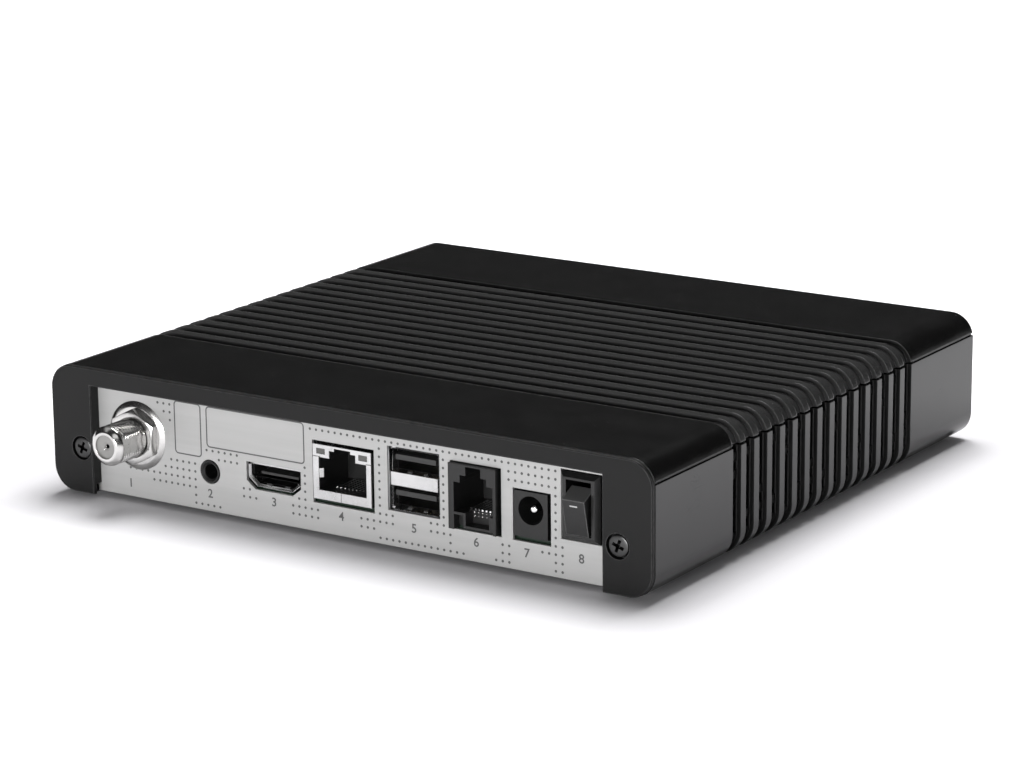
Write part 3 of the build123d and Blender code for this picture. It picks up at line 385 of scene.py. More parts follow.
def bright_metal(
    name, clean, tarnished, rough, wave=1.6, pore=0.12, depth=0.006, edge=0.08, tarnish=0.6,
    scratches=0.3,
):
    """Plated or drawn metal: slow waves, fine pores, light tarnish, and a few scratches."""
    material, tree, shader = blank_finish(name, metallic=1.0)
    edges = place_effect(tree, soft_edge, Radius=edge)
    skin = place_effect(tree, plating, Wave=wave, Pore=pore)
    dulled = maths(tree, "MULTIPLY", skin["Tarnish"], tarnish)
    lines = place_effect(tree, hairlines, Spacing=0.35, Cover=scratches)["Mask"]
    colour = blended(tree, dulled, clean, tarnished)
    gloss = spread(tree, skin["Tarnish"], 0.0, 1.0, *rough)
    gloss = maths(tree, "MULTIPLY_ADD", lines, 0.15, gloss)
    dress(tree, shader, colour, gloss, skin["Height"], 0.35, depth, edges["Normal"])
    return material


def panel_sheet(name):
    """Silver-lacquered steel sheet: fine grinding lines under a thin clear lacquer."""
    material, tree, shader = blank_finish(name, metallic=0.35, coat=0.1, coat_roughness=0.4)
    edges = place_effect(tree, soft_edge, Radius=0.12)
    lines = place_effect(tree, brushed_lines, Width=0.16, Length=9.0)
    smears = place_effect(tree, handling_marks, Size=14.0, Cover=0.4)["Mask"]
    colour = blended(tree, lines["Tone"], (0.45, 0.45, 0.4455), (0.48, 0.48, 0.4752))
    worn_and_edge_lit = place_effect(tree, edge_wear_and_light, Edge=edges["Edge"], Size=0.8, Amount=0.5)["Mask"]
    colour = blended(tree, worn_and_edge_lit, colour, 0.62)
    gloss = spread(tree, lines["Tone"], 0.0, 1.0, 0.5, 0.55)
    gloss = maths(tree, "MULTIPLY_ADD", smears, 0.06, gloss)
    dress(tree, shader, colour, gloss, lines["Height"], 0.2, 0.01, edges["Normal"])
    return material


def rubber(name):
    """Matte rubber with a fine bloom."""
    material, tree, shader = blank_finish(name, specular=0.3)
    edges = place_effect(tree, soft_edge, Radius=0.3)
    texture = place_effect(tree, moulded_grain, Grain=0.6)
    colour = blended(tree, texture["Tone"], 0.018, 0.034)
    gloss = spread(tree, texture["Tone"], 0.0, 1.0, 0.7, 0.85)
    dress(tree, shader, colour, gloss, texture["Height"], 0.6, 0.05, edges["Normal"])
    return material


def solder_mask(name):
    """Green circuit board, its green painted nearly black as the shade inside the case: copper runs
    under the lacquer show as a faint raised pattern.
    """
    material, tree, shader = blank_finish(name, coat=0.2, coat_roughness=0.15)
    inputs = {"Vector": own_space(tree), "Scale": 260.0, "Mortar Size": 0.018, "Bias": 0.0}
    runs = put(tree, "TexBrick", inputs).outputs["Fac"]
    texture = place_effect(tree, moulded_grain, Grain=0.25)
    # painted shade: the green is darkened nearly to black, as the board lies in shade inside the
    # case
    colour = blended(tree, texture["Tone"], (0.001, 0.005, 0.002), (0.002, 0.009, 0.004))
    colour = blended(tree, maths(tree, "MULTIPLY", runs, 0.6), colour, (0.004, 0.018, 0.008))
    gloss = spread(tree, texture["Tone"], 0.0, 1.0, 0.28, 0.4)
    dress(tree, shader, colour, gloss, runs, 0.3, 0.05)
    return material


def clear_part(name, dark, light, rough, transmission):
    """Tinted clear plastic with a slightly uneven skin."""
    material, tree, shader = blank_finish(name, ior=1.49)
    shader["Transmission Weight"].default_value = transmission
    edges = place_effect(tree, soft_edge, Radius=0.15)
    texture = place_effect(tree, moulded_grain, Grain=1.5)
    smears = place_effect(tree, handling_marks, Size=12.0, Cover=0.3)["Mask"]
    colour = blended(tree, texture["Tone"], dark, light)
    gloss = spread(tree, texture["Tone"], 0.0, 1.0, *rough)
    gloss = maths(tree, "MULTIPLY_ADD", smears, 0.05, gloss)
    dress(tree, shader, colour, gloss, texture["Height"], 0.1, 0.01, edges["Normal"])
    return material


def printed_ink(name, thin, thick):
    """Screen-printed ink: slightly uneven cover, matte."""
    material, tree, shader = blank_finish(name, specular=0.3)
    texture = place_effect(tree, moulded_grain, Grain=0.12)
    colour = blended(tree, texture["Height"], thin, thick)
    gloss = spread(tree, texture["Tone"], 0.0, 1.0, 0.5, 0.65)
    dress(tree, shader, colour, gloss, texture["Height"], 0.3, 0.01)
    return material


finishes = {
    # cover: the paler band over the ribs is painted light; the paler edges are partly wear, partly
    # a painted highlight
    "cover_plastic": plastic(
        "Black cover", 0.0025, 0.004, (0.2, 0.26), grain=0.35, depth=0.004, walls=0.2, edge=0.3,
        rub_and_edge_light=0.8, rubbed_and_edge_lit=0.045, marks=0.45, dust=0.04, rib_band_painted_light=0.032,
    ),
    "base_plastic": plastic(
        "Gloss black base", 0.004, 0.006, (0.18, 0.24), grain=0.35, depth=0.003, walls=0.2,
        edge=0.22, rub_and_edge_light=0.2, rubbed_and_edge_lit=0.02, marks=0.4, scratches=0.25, specular=0.42,
    ),
    # frame: the paler edges are mostly a painted highlight along the top edge
    "frame_plastic": plastic(
        "Satin black frame", 0.005, 0.007, (0.42, 0.52), grain=0.3, depth=0.02, edge=0.25, rub_and_edge_light=0.9,
        rubbed_and_edge_lit=0.12, marks=0.35, specular=0.24,
    ),
    "front_plastic": plastic(
        "Gloss black front", 0.005, 0.007, (0.08, 0.13), grain=2.0, depth=0.002, edge=0.3,
        marks=0.5, scratches=0.3,
    ),
    "window_smoke": clear_part(
        "Smoked window", (0.06, 0.012, 0.012), (0.09, 0.02, 0.02), (0.04, 0.08), 0.8,
    ),
    "panel_steel": panel_sheet("Silver panel sheet"),
    "screw_black": bright_metal("Black screws", 0.075, 0.045, (0.28, 0.42), tarnish=0.8, edge=0.1),
    "screw_steel": bright_metal("Zinc screws", 0.62, 0.45, (0.2, 0.38)),
    "foot_rubber": rubber("Foot rubber"),
    "board_green": solder_mask("Green circuit board in painted shade"),
    "can_steel": bright_metal("Tinned can", (0.6076, 0.62, 0.62), 0.42, (0.28, 0.45), wave=4.0),
    "nickel": bright_metal(
        "Bright nickel", (0.6, 0.594, 0.582), (0.46, 0.4508, 0.4416), (0.14, 0.24), wave=2.5,
        depth=0.001, edge=0.08, tarnish=0.5,
    ),
    "insulator_plastic": plastic(
        "Milky insulator", (0.26, 0.2574, 0.2496), (0.31, 0.3069, 0.2976), (0.4, 0.55), grain=0.5,
        edge=0.1,
    ),
    "contact_gold": bright_metal(
        "Gold contacts", (0.86, 0.68, 0.36), (0.7, 0.5, 0.24), (0.16, 0.3), edge=0.05,
    ),
    "jack_plastic": plastic(
        "Black socket plastic", 0.006, 0.009, (0.4, 0.52), grain=0.25, depth=0.015, edge=0.12,
        rub_and_edge_light=0.25, rubbed_and_edge_lit=0.04,
    ),
    "shell_steel": bright_metal("Tin-plated shell", 0.56, 0.42, (0.2, 0.32), wave=2.0, edge=0.1),
    "tongue_plastic": plastic("Tongue plastic", 0.022, 0.032, (0.45, 0.55), grain=0.2, edge=0.1),
    "lamp_plastic": clear_part(
        "Lamp window", (0.1, 0.1, 0.095), (0.14, 0.14, 0.13), (0.2, 0.3), 0.15,
    ),
    "pin_nickel": bright_metal("Power pin", 0.85, 0.62, (0.08, 0.18), depth=0.002),
    "switch_plastic": plastic(
        "Switch housing", 0.006, 0.009, (0.32, 0.42), grain=0.3, edge=0.18, rub_and_edge_light=0.2, rubbed_and_edge_lit=0.05,
    ),
    # rocker: the paler upper faces and the paler crest are painted light
    "rocker_plastic": plastic(
        "Rocker plastic", 0.008, 0.012, (0.26, 0.34), grain=0.5, depth=0.002, edge=0.45, rub_and_edge_light=0.9,
        rubbed_and_edge_lit=0.16, marks=0.4, painted_top_light=0.07,
    ),
    "chip_epoxy": plastic("Chip epoxy", 0.02, 0.03, (0.6, 0.7), grain=0.2),
    "sink_aluminium": bright_metal("Anodised aluminium", 0.5, 0.4, (0.35, 0.5), wave=5.0, pore=0.2),
    "crystal_steel": bright_metal("Bright can", 0.7, 0.5, (0.18, 0.3)),
    "coil_ferrite": plastic("Coil ferrite", 0.03, 0.05, (0.7, 0.85), grain=0.3),
    "capacitor_sleeve": plastic(
        "Capacitor sleeve", (0.012, 0.014, 0.05), (0.016, 0.02, 0.07), (0.2, 0.3), grain=1.0,
    ),
    "receiver_epoxy": plastic(
        "Receiver epoxy", (0.02, 0.004, 0.004), (0.04, 0.006, 0.006), (0.1, 0.18), grain=1.0,
    ),
    "light_lens": clear_part(
        "Status light lens", (0.12, 0.42, 0.14), (0.16, 0.5, 0.18), (0.12, 0.2), 0.5,
    ),
    "header_plastic": plastic(
        "Header plastic", (0.62, 0.58, 0.48), (0.7, 0.66, 0.56), (0.4, 0.5), grain=0.3,
    ),
    "ribbon_vinyl": plastic("Ribbon vinyl", 0.34, 0.4, (0.45, 0.55), grain=0.8),
}
ink = printed_ink("Printed ink", 0.075, 0.12)
dull_nickel = bright_metal("Dull nickel", (0.6, 0.594, 0.582), 0.48, (0.18, 0.28), depth=0.0008)
node_finish = {row["node"]: row["material_slot"] for row in frame["record"]["subparts"]}
for node_name, node in frame["nodes"].items():
    node.data.materials.clear()
    node.data.materials.append(finishes[node_finish[node_name]])


# ------------------------------------------------------------------ shapes
SHARP_ANGLE = radians(34.0)


def smoothed(bm):
    """Smooth shading, with edges over an angle kept sharp."""
    bmesh.ops.recalc_face_normals(bm, faces=bm.faces)
    for face in bm.faces:
        face.smooth = True
    for edge in bm.edges:
        edge.smooth = len(edge.link_faces) == 2 and edge.calc_face_angle() < SHARP_ANGLE


def mesh_of(name, bm):
    """Mesh made of a bmesh, which is used up."""
    mesh = bpy.data.meshes.new(name)
    bm.to_mesh(mesh)
    bm.free()
    return mesh


def add_object(name, data):
    """New object in the scene."""
    made = bpy.data.objects.new(name, data)
    bpy.context.scene.collection.objects.link(made)
    return made


def piece(name, bm, slot, body="receiver", stands_for=(), material=None):
    """Turns a mesh into a piece: smooth shading, a finish (the slot's, unless a material is given),
    a body, and hides the CAD nodes it stands for.
    """
    smoothed(bm)
    made = add_object(name, mesh_of(name, bm))
    made.data.materials.append(material or finishes[slot])
    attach(made, body)
    if stands_for:
        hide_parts(*stands_for)


def bridge(bm, first, second):
    """Joins two rings of vertices with faces; one of them may be a single vertex."""
    count = max(len(first), len(second))
    for index in range(count):
        after = (index + 1) % count
        corners = [first[index % len(first)], first[after % len(first)]]
        corners += [second[after % len(second)], second[index % len(second)]]
        bm.faces.new(list(dict.fromkeys(corners)))


def lathe(bm, centre, profile, steps=64, closed=True, shaped=None):
    """Turns a profile of (radius, distance along +Y) about a +Y axis; shaped bends each radius."""
    rings = []
    for radius, along in profile:
        ring = []
        for index in range(steps if radius else 1):
            turn = 2 * pi * index / steps
            reach = (shaped(radius, along, turn) if shaped else radius) * MM
            offset = Vector((reach * cos(turn), along * MM, reach * sin(turn)))
            ring.append(bm.verts.new(centre + offset))
        rings.append(ring)
    if closed:
        rings.append(rings[0])
    for first, second in zip(rings, rings[1:]):
        bridge(bm, first, second)


def rounded_box(across, high, width, height, radius, steps=5):
    """Outline of an upright rectangle round a centre, with rounded corners."""
    found = []
    for quarter, (side, level) in enumerate(((1, 1), (-1, 1), (-1, -1), (1, -1))):
        x, z = across + side * (width / 2 - radius), high + level * (height / 2 - radius)
        for step in range(steps + 1):
            turn = (quarter + step / steps) * pi / 2
            found.append((x + radius * cos(turn), z + radius * sin(turn)))
    return found


def plate(bm, outline, proud_low, proud_high, hole=None):
    """Flat plate that lies along the panel: an outline, and a hole with as many points if given."""
    def ring(points, proud):
        return [bm.verts.new(spot(across, proud, high)) for across, high in points]

    outer_low, outer_high = ring(outline, proud_low), ring(outline, proud_high)
    bridge(bm, outer_low, outer_high)
    if hole:
        inner_low, inner_high = ring(hole, proud_low), ring(hole, proud_high)
        bridge(bm, inner_high, inner_low)
        bridge(bm, outer_high, inner_high)
        bridge(bm, inner_low, outer_low)
    else:
        bm.faces.new(outer_high)
        bm.faces.new(list(reversed(outer_low)))


def slab(bm, low, high):
    """Box between two corners in metres."""
    corners = bmesh.ops.create_cube(bm, size=1.0)["verts"]
    matrix = Matrix.Translation((low + high) / 2) @ Matrix.Diagonal((*map(abs, high - low), 1.0))
    bmesh.ops.transform(bm, verts=corners, matrix=matrix)


def wedge(bm, corners):
    """Solid with flat sides round a set of corners in metres."""
    bmesh.ops.convex_hull(bm, input=[bm.verts.new(corner) for corner in corners])


def block(low, high):
    """Mesh of one box between two places given as (across, proud, high)."""
    made = bmesh.new()
    slab(made, spot(*low), spot(*high))
    return made


def worked(bm, tool, operation="DIFFERENCE"):
    """Cuts one closed mesh with another, or trims it by the other, and returns the result."""
    objects = []
    for label, source in (("blank", bm), ("tool", tool)):
        bmesh.ops.recalc_face_normals(source, faces=source.faces)
        objects.append(add_object(label, mesh_of(label, source)))
    blank, cutter = objects
    change = blank.modifiers.new("work", "BOOLEAN")
    change.object = cutter
    change.operation = operation
    change.solver = "EXACT"
    bpy.context.view_layer.update()
    shown = blank.evaluated_get(bpy.context.evaluated_depsgraph_get())
    result = bmesh.new()
    result.from_mesh(shown.to_mesh())
    shown.to_mesh_clear()
    for used in objects:
        mesh = used.data
        bpy.data.objects.remove(used)
        bpy.data.meshes.remove(mesh)
    bmesh.ops.remove_doubles(result, verts=result.verts, dist=0.000002)
    bmesh.ops.dissolve_degenerate(result, edges=result.edges, dist=0.000001)
    return result


def from_node(node_name):
    """Closed mesh of a CAD node, to be worked on as a piece of its own."""
    bm = bmesh.new()
    bm.from_mesh(frame["nodes"][node_name].data)
    bmesh.ops.remove_doubles(bm, verts=bm.verts, dist=0.000001)
    return bm


def trimmed(bm, front, depth, areas):
    """Trims a socket's mouth by a depth inside areas given as (across, high), (across, high)."""
    for (left, low), (right, high) in areas:
        bm = worked(bm, block((left, front - depth, low), (right, front + 1, high)))
    return bm


# ------------------------------------------------------------------ print on the connector panel
INK = (-0.02, 0.025)            # from just under the sheet's face to the ink's top
DOT_RADIUS = 0.32
DOT_SIDES = 14
ROW_TOP = 24.55
ROW_PITCH = 1.896
LAST_DOT = 139.7                # across, of the column beside the switch
FINE_PITCH = 1.7316             # from the network socket to the switch
WIDE_PITCH = 1.761              # beside the aerial
FINE_COLUMNS = 38
WIDE_COLUMNS = 32
SINGLES = ((92.5, 93.5), (110, 111), (139, 141))        # single columns beside the sockets
dot_rows = (                    # from the top: stretches of the row that carry dots, across
    ((29, 34), (73, 141)),
    ((31, 34), (92.5, 93.5), (110, 111), (127, 141)),
    ((33, 34), (92.5, 93.5), (110, 111), (127, 141)),
    SINGLES,
    SINGLES,
    ((43.5, 53.5), (71.5, 73), *SINGLES),
    ((47, 53.5), (71.5, 73), *SINGLES),
    ((33, 41), (71.5, 73), *SINGLES),
    ((31, 41), (71.5, 73), *SINGLES),
    ((20, 41), (54, 57), (70, 73), (92.5, 97), (106, 111), (139, 142)),
    ((27, 41), (54, 59), (68, 76), (87, 97), (106, 113), (125, 128), (136, 142)),
    ((40, 41), (68, 76), (87, 92), (111.5, 113), (125, 128), (139, 142)),
    ((40, 48), (92.5, 116), (124, 128), (139, 142)),
)


def dot_columns():
    """Places of the dot columns across the panel, from the switch to the aerial."""
    fine = [LAST_DOT + FINE_PITCH - index * FINE_PITCH for index in range(FINE_COLUMNS + 2)]
    wide = [fine[-1] - (index + 1) * WIDE_PITCH for index in range(WIDE_COLUMNS)]
    return fine + wide


bm = bmesh.new()
for row, stretches in enumerate(dot_rows):
    for column in dot_columns():
        if any(start <= column <= stop for start, stop in stretches):
            turns = [2 * pi * side / DOT_SIDES for side in range(DOT_SIDES)]
            high = ROW_TOP - row * ROW_PITCH
            round_dot = [
                (column + DOT_RADIUS * cos(turn), high + DOT_RADIUS * sin(turn)) for turn in turns
            ]
            plate(bm, round_dot, *INK)
piece("panel_dots", bm, "jack_plastic", material=ink)

bm = bmesh.new()
FRAME_LINE = 0.32
FRAME_CORNER = 1.0
for across, high, width, height in ((38.6, 19.4, 7.9, 12.8), (58.1, 20.75, 28.2, 9.9)):
    outside, inside = (
        rounded_box(across, high, width - 2 * inset, height - 2 * inset, FRAME_CORNER - inset)
        for inset in (0.0, FRAME_LINE)
    )
    plate(bm, outside, *INK, hole=inside)
piece("panel_outlines", bm, "jack_plastic", material=ink)

NUMBER_HEIGHT = 2.1
TYPE_SIZE = 1.4                 # of the built-in typeface, for digits one unit high
STROKE_GAIN = 0.045             # how far each edge of a stroke is moved outwards


def numeral(bm, text, across, high):
    """Prints one plain number on the panel, centred on a place."""
    curve = bpy.data.curves.new("numeral", "FONT")
    curve.body = text
    curve.size = NUMBER_HEIGHT * TYPE_SIZE * MM
    curve.align_x = "CENTER"
    curve.align_y = "CENTER"
    curve.extrude = (INK[1] - INK[0]) / 2 * MM
    curve.offset = STROKE_GAIN * MM
    holder = add_object("numeral", curve)
    bpy.context.view_layer.update()
    shown = holder.evaluated_get(bpy.context.evaluated_depsgraph_get())
    mesh = bpy.data.meshes.new_from_object(shown)
    upright = Matrix.Rotation(pi, 4, "Z") @ Matrix.Rotation(pi / 2, 4, "X")
    mesh.transform(Matrix.Translation(spot(across, sum(INK) / 2, high)) @ upright)
    bm.from_mesh(mesh)
    bpy.data.objects.remove(holder)
    bpy.data.curves.remove(curve)
    bpy.data.meshes.remove(mesh)


bm = bmesh.new()
for text, across, high in (
    ("1", 21.0, 3.6), ("2", 44.7, 4.6), ("3", 63.2, 5.4), ("4", 82.2, 5.0),
    ("5", 102.2, 5.4), ("6", 118.9, 4.9), ("7", 132.2, 4.6), ("8", 146.3, 5.6),
):
    numeral(bm, text, across, high)
bmesh.ops.remove_doubles(bm, verts=bm.verts, dist=0.0000005)
piece("panel_numbers", bm, "jack_plastic", material=ink)

# ------------------------------------------------------------------ aerial socket
THREAD_PITCH = 0.794
THREAD_CREST = 4.73
THREAD_DEPTH = 0.5
THREAD_END = 0.4                # from the last of the thread to the collar
THREAD_STEPS = 9                # rings of the mesh in one pitch
COLLAR_LENGTH = 1.6             # plain collar at the barrel's tip
CONTACT_HOLE = 0.85             # radius, through the barrel
WELL_DEPTH = 4.6                # of the well that takes the insulator, from the tip
FLAT_REACH = 3.87               # spanner flat on the side towards the switch
SMOOTH_TURN = 96                # sides of the round pieces that show their outline
aerial_axis = middle("antenna_barrel")
aerial_axis.y = panel_face
aerial_back, aerial_tip = depths_of("antenna_barrel")
nut_back, nut_front = depths_of("antenna_nut")
collar_start = aerial_tip - COLLAR_LENGTH
thread_start, thread_stop = nut_front, collar_start - THREAD_END


def thread_radius(radius, along, turn):
    """Radius of the barrel; the crests of the thread climb round it."""
    if radius != THREAD_CREST or not thread_start < along < thread_stop:
        return radius
    phase = (along / THREAD_PITCH + turn / (2 * pi)) % 1.0
    tooth = abs(phase - 0.5) * 2
    run_in = (along - thread_start) / THREAD_PITCH
    run_out = (thread_stop - along) / (THREAD_PITCH / 2)
    depth = THREAD_DEPTH * min(1.0, run_in, run_out)
    return radius - depth * min(1.0, max(0.0, (tooth - 0.12) / 0.7))


neck_stop = thread_start + 1.0
profile = [
    (CONTACT_HOLE, aerial_back), (3.5, aerial_back), (3.5, -1.2), (4.4, -1.2),
    (4.4, thread_start), (4.05, thread_start + 0.05), (4.05, neck_stop - 0.15), (4.3, neck_stop),
]
steps_along = int((thread_stop - neck_stop) / THREAD_PITCH * THREAD_STEPS)
for index in range(steps_along + 1):
    along = neck_stop + (thread_stop - neck_stop) * index / steps_along
    profile.append((THREAD_CREST, along))
for radius, back in (
    (4.35, 1.95), (4.28, 1.85), (4.28, 1.65), (4.4, 1.58), (4.68, 1.52), (4.75, 1.42), (4.75, 1.22),
    (4.66, 1.02), (4.36, 0.72), (3.9, 0.32), (3.62, 0.1), (3.5, 0.02), (3.4, 0.0), (2.9, 0.0),
    (2.8, 0.04), (2.75, 0.14), (2.75, 0.5), (3.5, 0.56),
):
    profile.append((radius, aerial_tip - back))
profile += [(3.5, aerial_tip - WELL_DEPTH), (CONTACT_HOLE, aerial_tip - WELL_DEPTH)]
bm = bmesh.new()
lathe(bm, aerial_axis, profile, steps=SMOOTH_TURN, shaped=thread_radius)
tool = bmesh.new()
slab(
    tool, aerial_axis + Vector((-8.0, thread_start, -8.0)) * MM,
    aerial_axis + Vector((-FLAT_REACH, collar_start, 8.0)) * MM,
)
bm = worked(bm, tool)
piece("aerial_barrel", bm, "nickel", stands_for=("antenna_barrel",))

bm = bmesh.new()
profile = [(CONTACT_HOLE, aerial_tip - WELL_DEPTH), (3.45, aerial_tip - WELL_DEPTH)]
for radius, back in (
    (3.45, 0.72), (3.3, 0.6), (1.15, 0.6), (0.95, 0.66), (0.8, 0.82), (0.55, 1.0), (0.55, 1.12),
    (CONTACT_HOLE, 1.16),
):
    profile.append((radius, aerial_tip - back))
lathe(bm, aerial_axis, profile)
piece("aerial_insulator", bm, "insulator_plastic", stands_for=("antenna_insulator",))

bm = bmesh.new()
leaf = bmesh.ops.create_uvsphere(bm, u_segments=16, v_segments=10, radius=0.3 * MM)["verts"]
bmesh.ops.translate(
    bm, verts=leaf, vec=aerial_axis + Vector((0.5, aerial_tip - 0.64, -0.6)) * MM,
)
piece("aerial_contact_leaf", bm, "pin_nickel")

NUT_FLATS = 12.0
NUT_BORE = 4.52                 # radius, of nut and washer
nut_corner = NUT_FLATS / 2 / cos(pi / 6)
nut_turn = radians(2)
bm = bmesh.new()
turns = [nut_turn + pi / 6 + index * pi / 3 for index in range(6)]
hexagon = [(nut_corner * cos(turn), nut_corner * sin(turn)) for turn in turns]
low_ring, high_ring = (
    [bm.verts.new(aerial_axis + Vector((x, along, z)) * MM) for x, z in hexagon]
    for along in (nut_back, nut_front)
)
bm.faces.new(high_ring)
bm.faces.new(list(reversed(low_ring)))
bridge(bm, low_ring, high_ring)
tool = bmesh.new()
nut_reach = nut_corner + 0.2
lathe(
    tool, aerial_axis,
    [
        (NUT_BORE, nut_back), (NUT_FLATS / 2, nut_back), (nut_reach, nut_back + 0.3),
        (nut_reach, nut_front - 0.55), (NUT_FLATS / 2 - 0.1, nut_front), (4.9, nut_front),
        (NUT_BORE, nut_front - 0.35),
    ],
    steps=SMOOTH_TURN,
)
bm = worked(bm, tool, "INTERSECT")
piece("aerial_nut", bm, "nickel", stands_for=("antenna_nut",), material=dull_nickel)

washer_left, washer_right = edges_of("antenna_washer")[:2]
washer_edge = (washer_right - washer_left) / 2
washer_top = depths_of("antenna_washer")[1]
bm = bmesh.new()
lathe(
    bm, aerial_axis,
    [
        (NUT_BORE, 0.0), (washer_edge - 0.15, 0.0), (washer_edge - 0.1, 0.04),
        (washer_edge - 0.15, 0.09), (washer_edge - 1.4, washer_top - 0.03),
        (washer_edge - 1.6, washer_top), (4.7, washer_top), (NUT_BORE, washer_top - 0.15),
    ],
    steps=SMOOTH_TURN,
)
piece("aerial_washer", bm, "nickel", stands_for=("antenna_washer",), material=dull_nickel)

# ------------------------------------------------------------------ screws of the rear frame
SCREW_HEAD = 2.5                # radius
screw_low, screw_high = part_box("rear_frame_screws")
screw_back, screw_front = depths_of("rear_frame_screws")
head_seat = screw_front - 1.7
bm = bmesh.new()
for side in (screw_low.x + SCREW_HEAD * MM, screw_high.x - SCREW_HEAD * MM):
    heart = Vector((side, panel_face, (screw_low.z + screw_high.z) / 2))
    dome = [
        (SCREW_HEAD * cos(angle), head_seat + 1.5 + 0.3 * sin(angle))
        for angle in (radians(step) for step in range(0, 90, 10))
    ]
    head = bmesh.new()
    lathe(
        head, heart,
        [(0, screw_back), (1.1, screw_back + 0.6), (1.5, screw_back + 1.5), (1.5, head_seat)]
        + [(SCREW_HEAD - 0.12, head_seat), (SCREW_HEAD, head_seat + 0.12)]
        + dome + [(0, head_seat + 1.8)],
        closed=False,
    )
    for turn in (radians(20), radians(110)):
        wing = []
        for long, thick, along in ((0.7, 0.2, screw_front - 1.2), (1.55, 0.38, screw_front + 0.1)):
            for across, high in ((-long, -thick), (long, -thick), (long, thick), (-long, thick)):
                x = across * cos(turn) - high * sin(turn)
                z = across * sin(turn) + high * cos(turn)
                wing.append(heart + Vector((x, along, z)) * MM)
        tool = bmesh.new()
        wedge(tool, wing)
        head = worked(head, tool)
    mesh = mesh_of("head", head)
    bm.from_mesh(mesh)
    bpy.data.meshes.remove(mesh)
piece("frame_screws", bm, "screw_black", stands_for=("rear_frame_screws",))

# ------------------------------------------------------------------ socket details
# video receptacle: flared lips on its left and lower sides, and two springs on its floor
hdmi_left, hdmi_right, board_face, hdmi_top = edges_of("hdmi_shell")
hdmi_front = depths_of("hdmi_shell")[1]
hdmi_wall = 0.5
hdmi_floor = board_face + 0.45
hdmi_slope = (2.4, 1.9)
hdmi_knee = hdmi_floor + hdmi_slope[1]
hdmi_trim = 0.8                 # the upper and right walls stop this much farther in


def receptacle(inset, proud):
    """Corners of the video receptacle's outline, moved inwards."""
    left, right = hdmi_left + inset, hdmi_right - inset
    low, top = hdmi_floor + inset, hdmi_top - inset
    outline = (
        (left, top), (right, top), (right, low + hdmi_slope[1]), (right - hdmi_slope[0], low),
        (left + hdmi_slope[0], low), (left, low + hdmi_slope[1]),
    )
    return [spot(across, proud, high) for across, high in outline]


bm = from_node("hdmi_shell")
tool = bmesh.new()
wedge(tool, receptacle(0.06, hdmi_front + 0.02) + receptacle(hdmi_wall, hdmi_front - 0.5))
bm = trimmed(worked(bm, tool), hdmi_front, hdmi_trim, (
    ((hdmi_left - 1, hdmi_top - hdmi_wall - 0.02), (hdmi_right + 1, hdmi_top + 1)),
    ((hdmi_right - hdmi_wall - 0.02, hdmi_knee), (hdmi_right + 1, hdmi_top + 1)),
))
piece("hdmi_flared_shell", bm, "shell_steel", stands_for=("hdmi_shell",))


def floor_spring(bm, across, low, front, width, length, height):
    """Spring tongue that rises from a socket's floor and falls again."""
    corners = []
    for side in (across - width / 2, across + width / 2):
        corners += [
            spot(side, front, low - 0.02), spot(side, front - length * 0.35, low + height),
            spot(side, front - length * 0.6, low + height), spot(side, front - length, low - 0.02),
        ]
    wedge(bm, corners)


bm = bmesh.new()
hdmi_middle = (hdmi_left + hdmi_right) / 2
for offset in (-2.0, 3.2):
    floor_spring(
        bm, hdmi_middle + offset, hdmi_floor + hdmi_wall, hdmi_front - 0.15, 1.5, 1.6, 0.4,
    )
piece("hdmi_springs", bm, "shell_steel")

# USB pair: the outer walls stop short, and a lip flares out on each side
usb_left, usb_right, usb_foot, usb_top = edges_of("usb_shell")
usb_front = depths_of("usb_shell")[1]
usb_low = usb_foot + 1.0
usb_wall = 0.5
usb_trim = 0.75
bar_low, bar_high = usb_low + 5.7, usb_low + 8.8
bm = trimmed(from_node("usb_shell"), usb_front, usb_trim, (
    ((usb_left - 1, usb_low - 0.5), (usb_left + usb_wall, usb_top + 1)),
    ((usb_right - usb_wall, usb_low - 0.5), (usb_right + 1, usb_top + 1)),
    ((usb_left - 1, usb_low - 0.5), (usb_right + 1, usb_low + usb_wall)),
    ((usb_left - 1, usb_top - usb_wall), (usb_right + 1, usb_top + 1)),
))
piece("usb_pair_shell", bm, "shell_steel", stands_for=("usb_shell",))

bm = bmesh.new()
lip_out, lip_in, lip_sheet = usb_front + 0.15, usb_front - 0.8, 0.16
for side, inward in ((usb_left, 1), (usb_right, -1)):
    wedge(bm, [
        spot(side + inward * reach, proud - back, high)
        for high in (usb_low + 0.95, usb_top - 0.6)
        for reach, proud in ((-0.02, lip_out), (usb_wall + 0.04, lip_in))
        for back in (0.0, lip_sheet)
    ])
for side, upward in ((usb_low, 1), (usb_top, -1)):
    wedge(bm, [
        spot(across, proud - back, side + upward * reach)
        for across in (usb_left + 1.1, usb_right - 0.45)
        for reach, proud in ((0.1, lip_out), (usb_wall + 0.04, lip_in))
        for back in (0.0, lip_sheet)
    ])
piece("usb_lips", bm, "shell_steel")

bm = bmesh.new()
usb_middle = (usb_left + usb_right) / 2
for low in (usb_low + usb_wall, bar_high):
    for offset, width in ((-1.7, 1.3), (2.6, 1.0)):
        floor_spring(bm, usb_middle + offset, low, usb_front - 0.5, width, 2.2, 0.5)
piece("usb_springs", bm, "shell_steel")

SHADE_LINER = 0.06                    # thickness


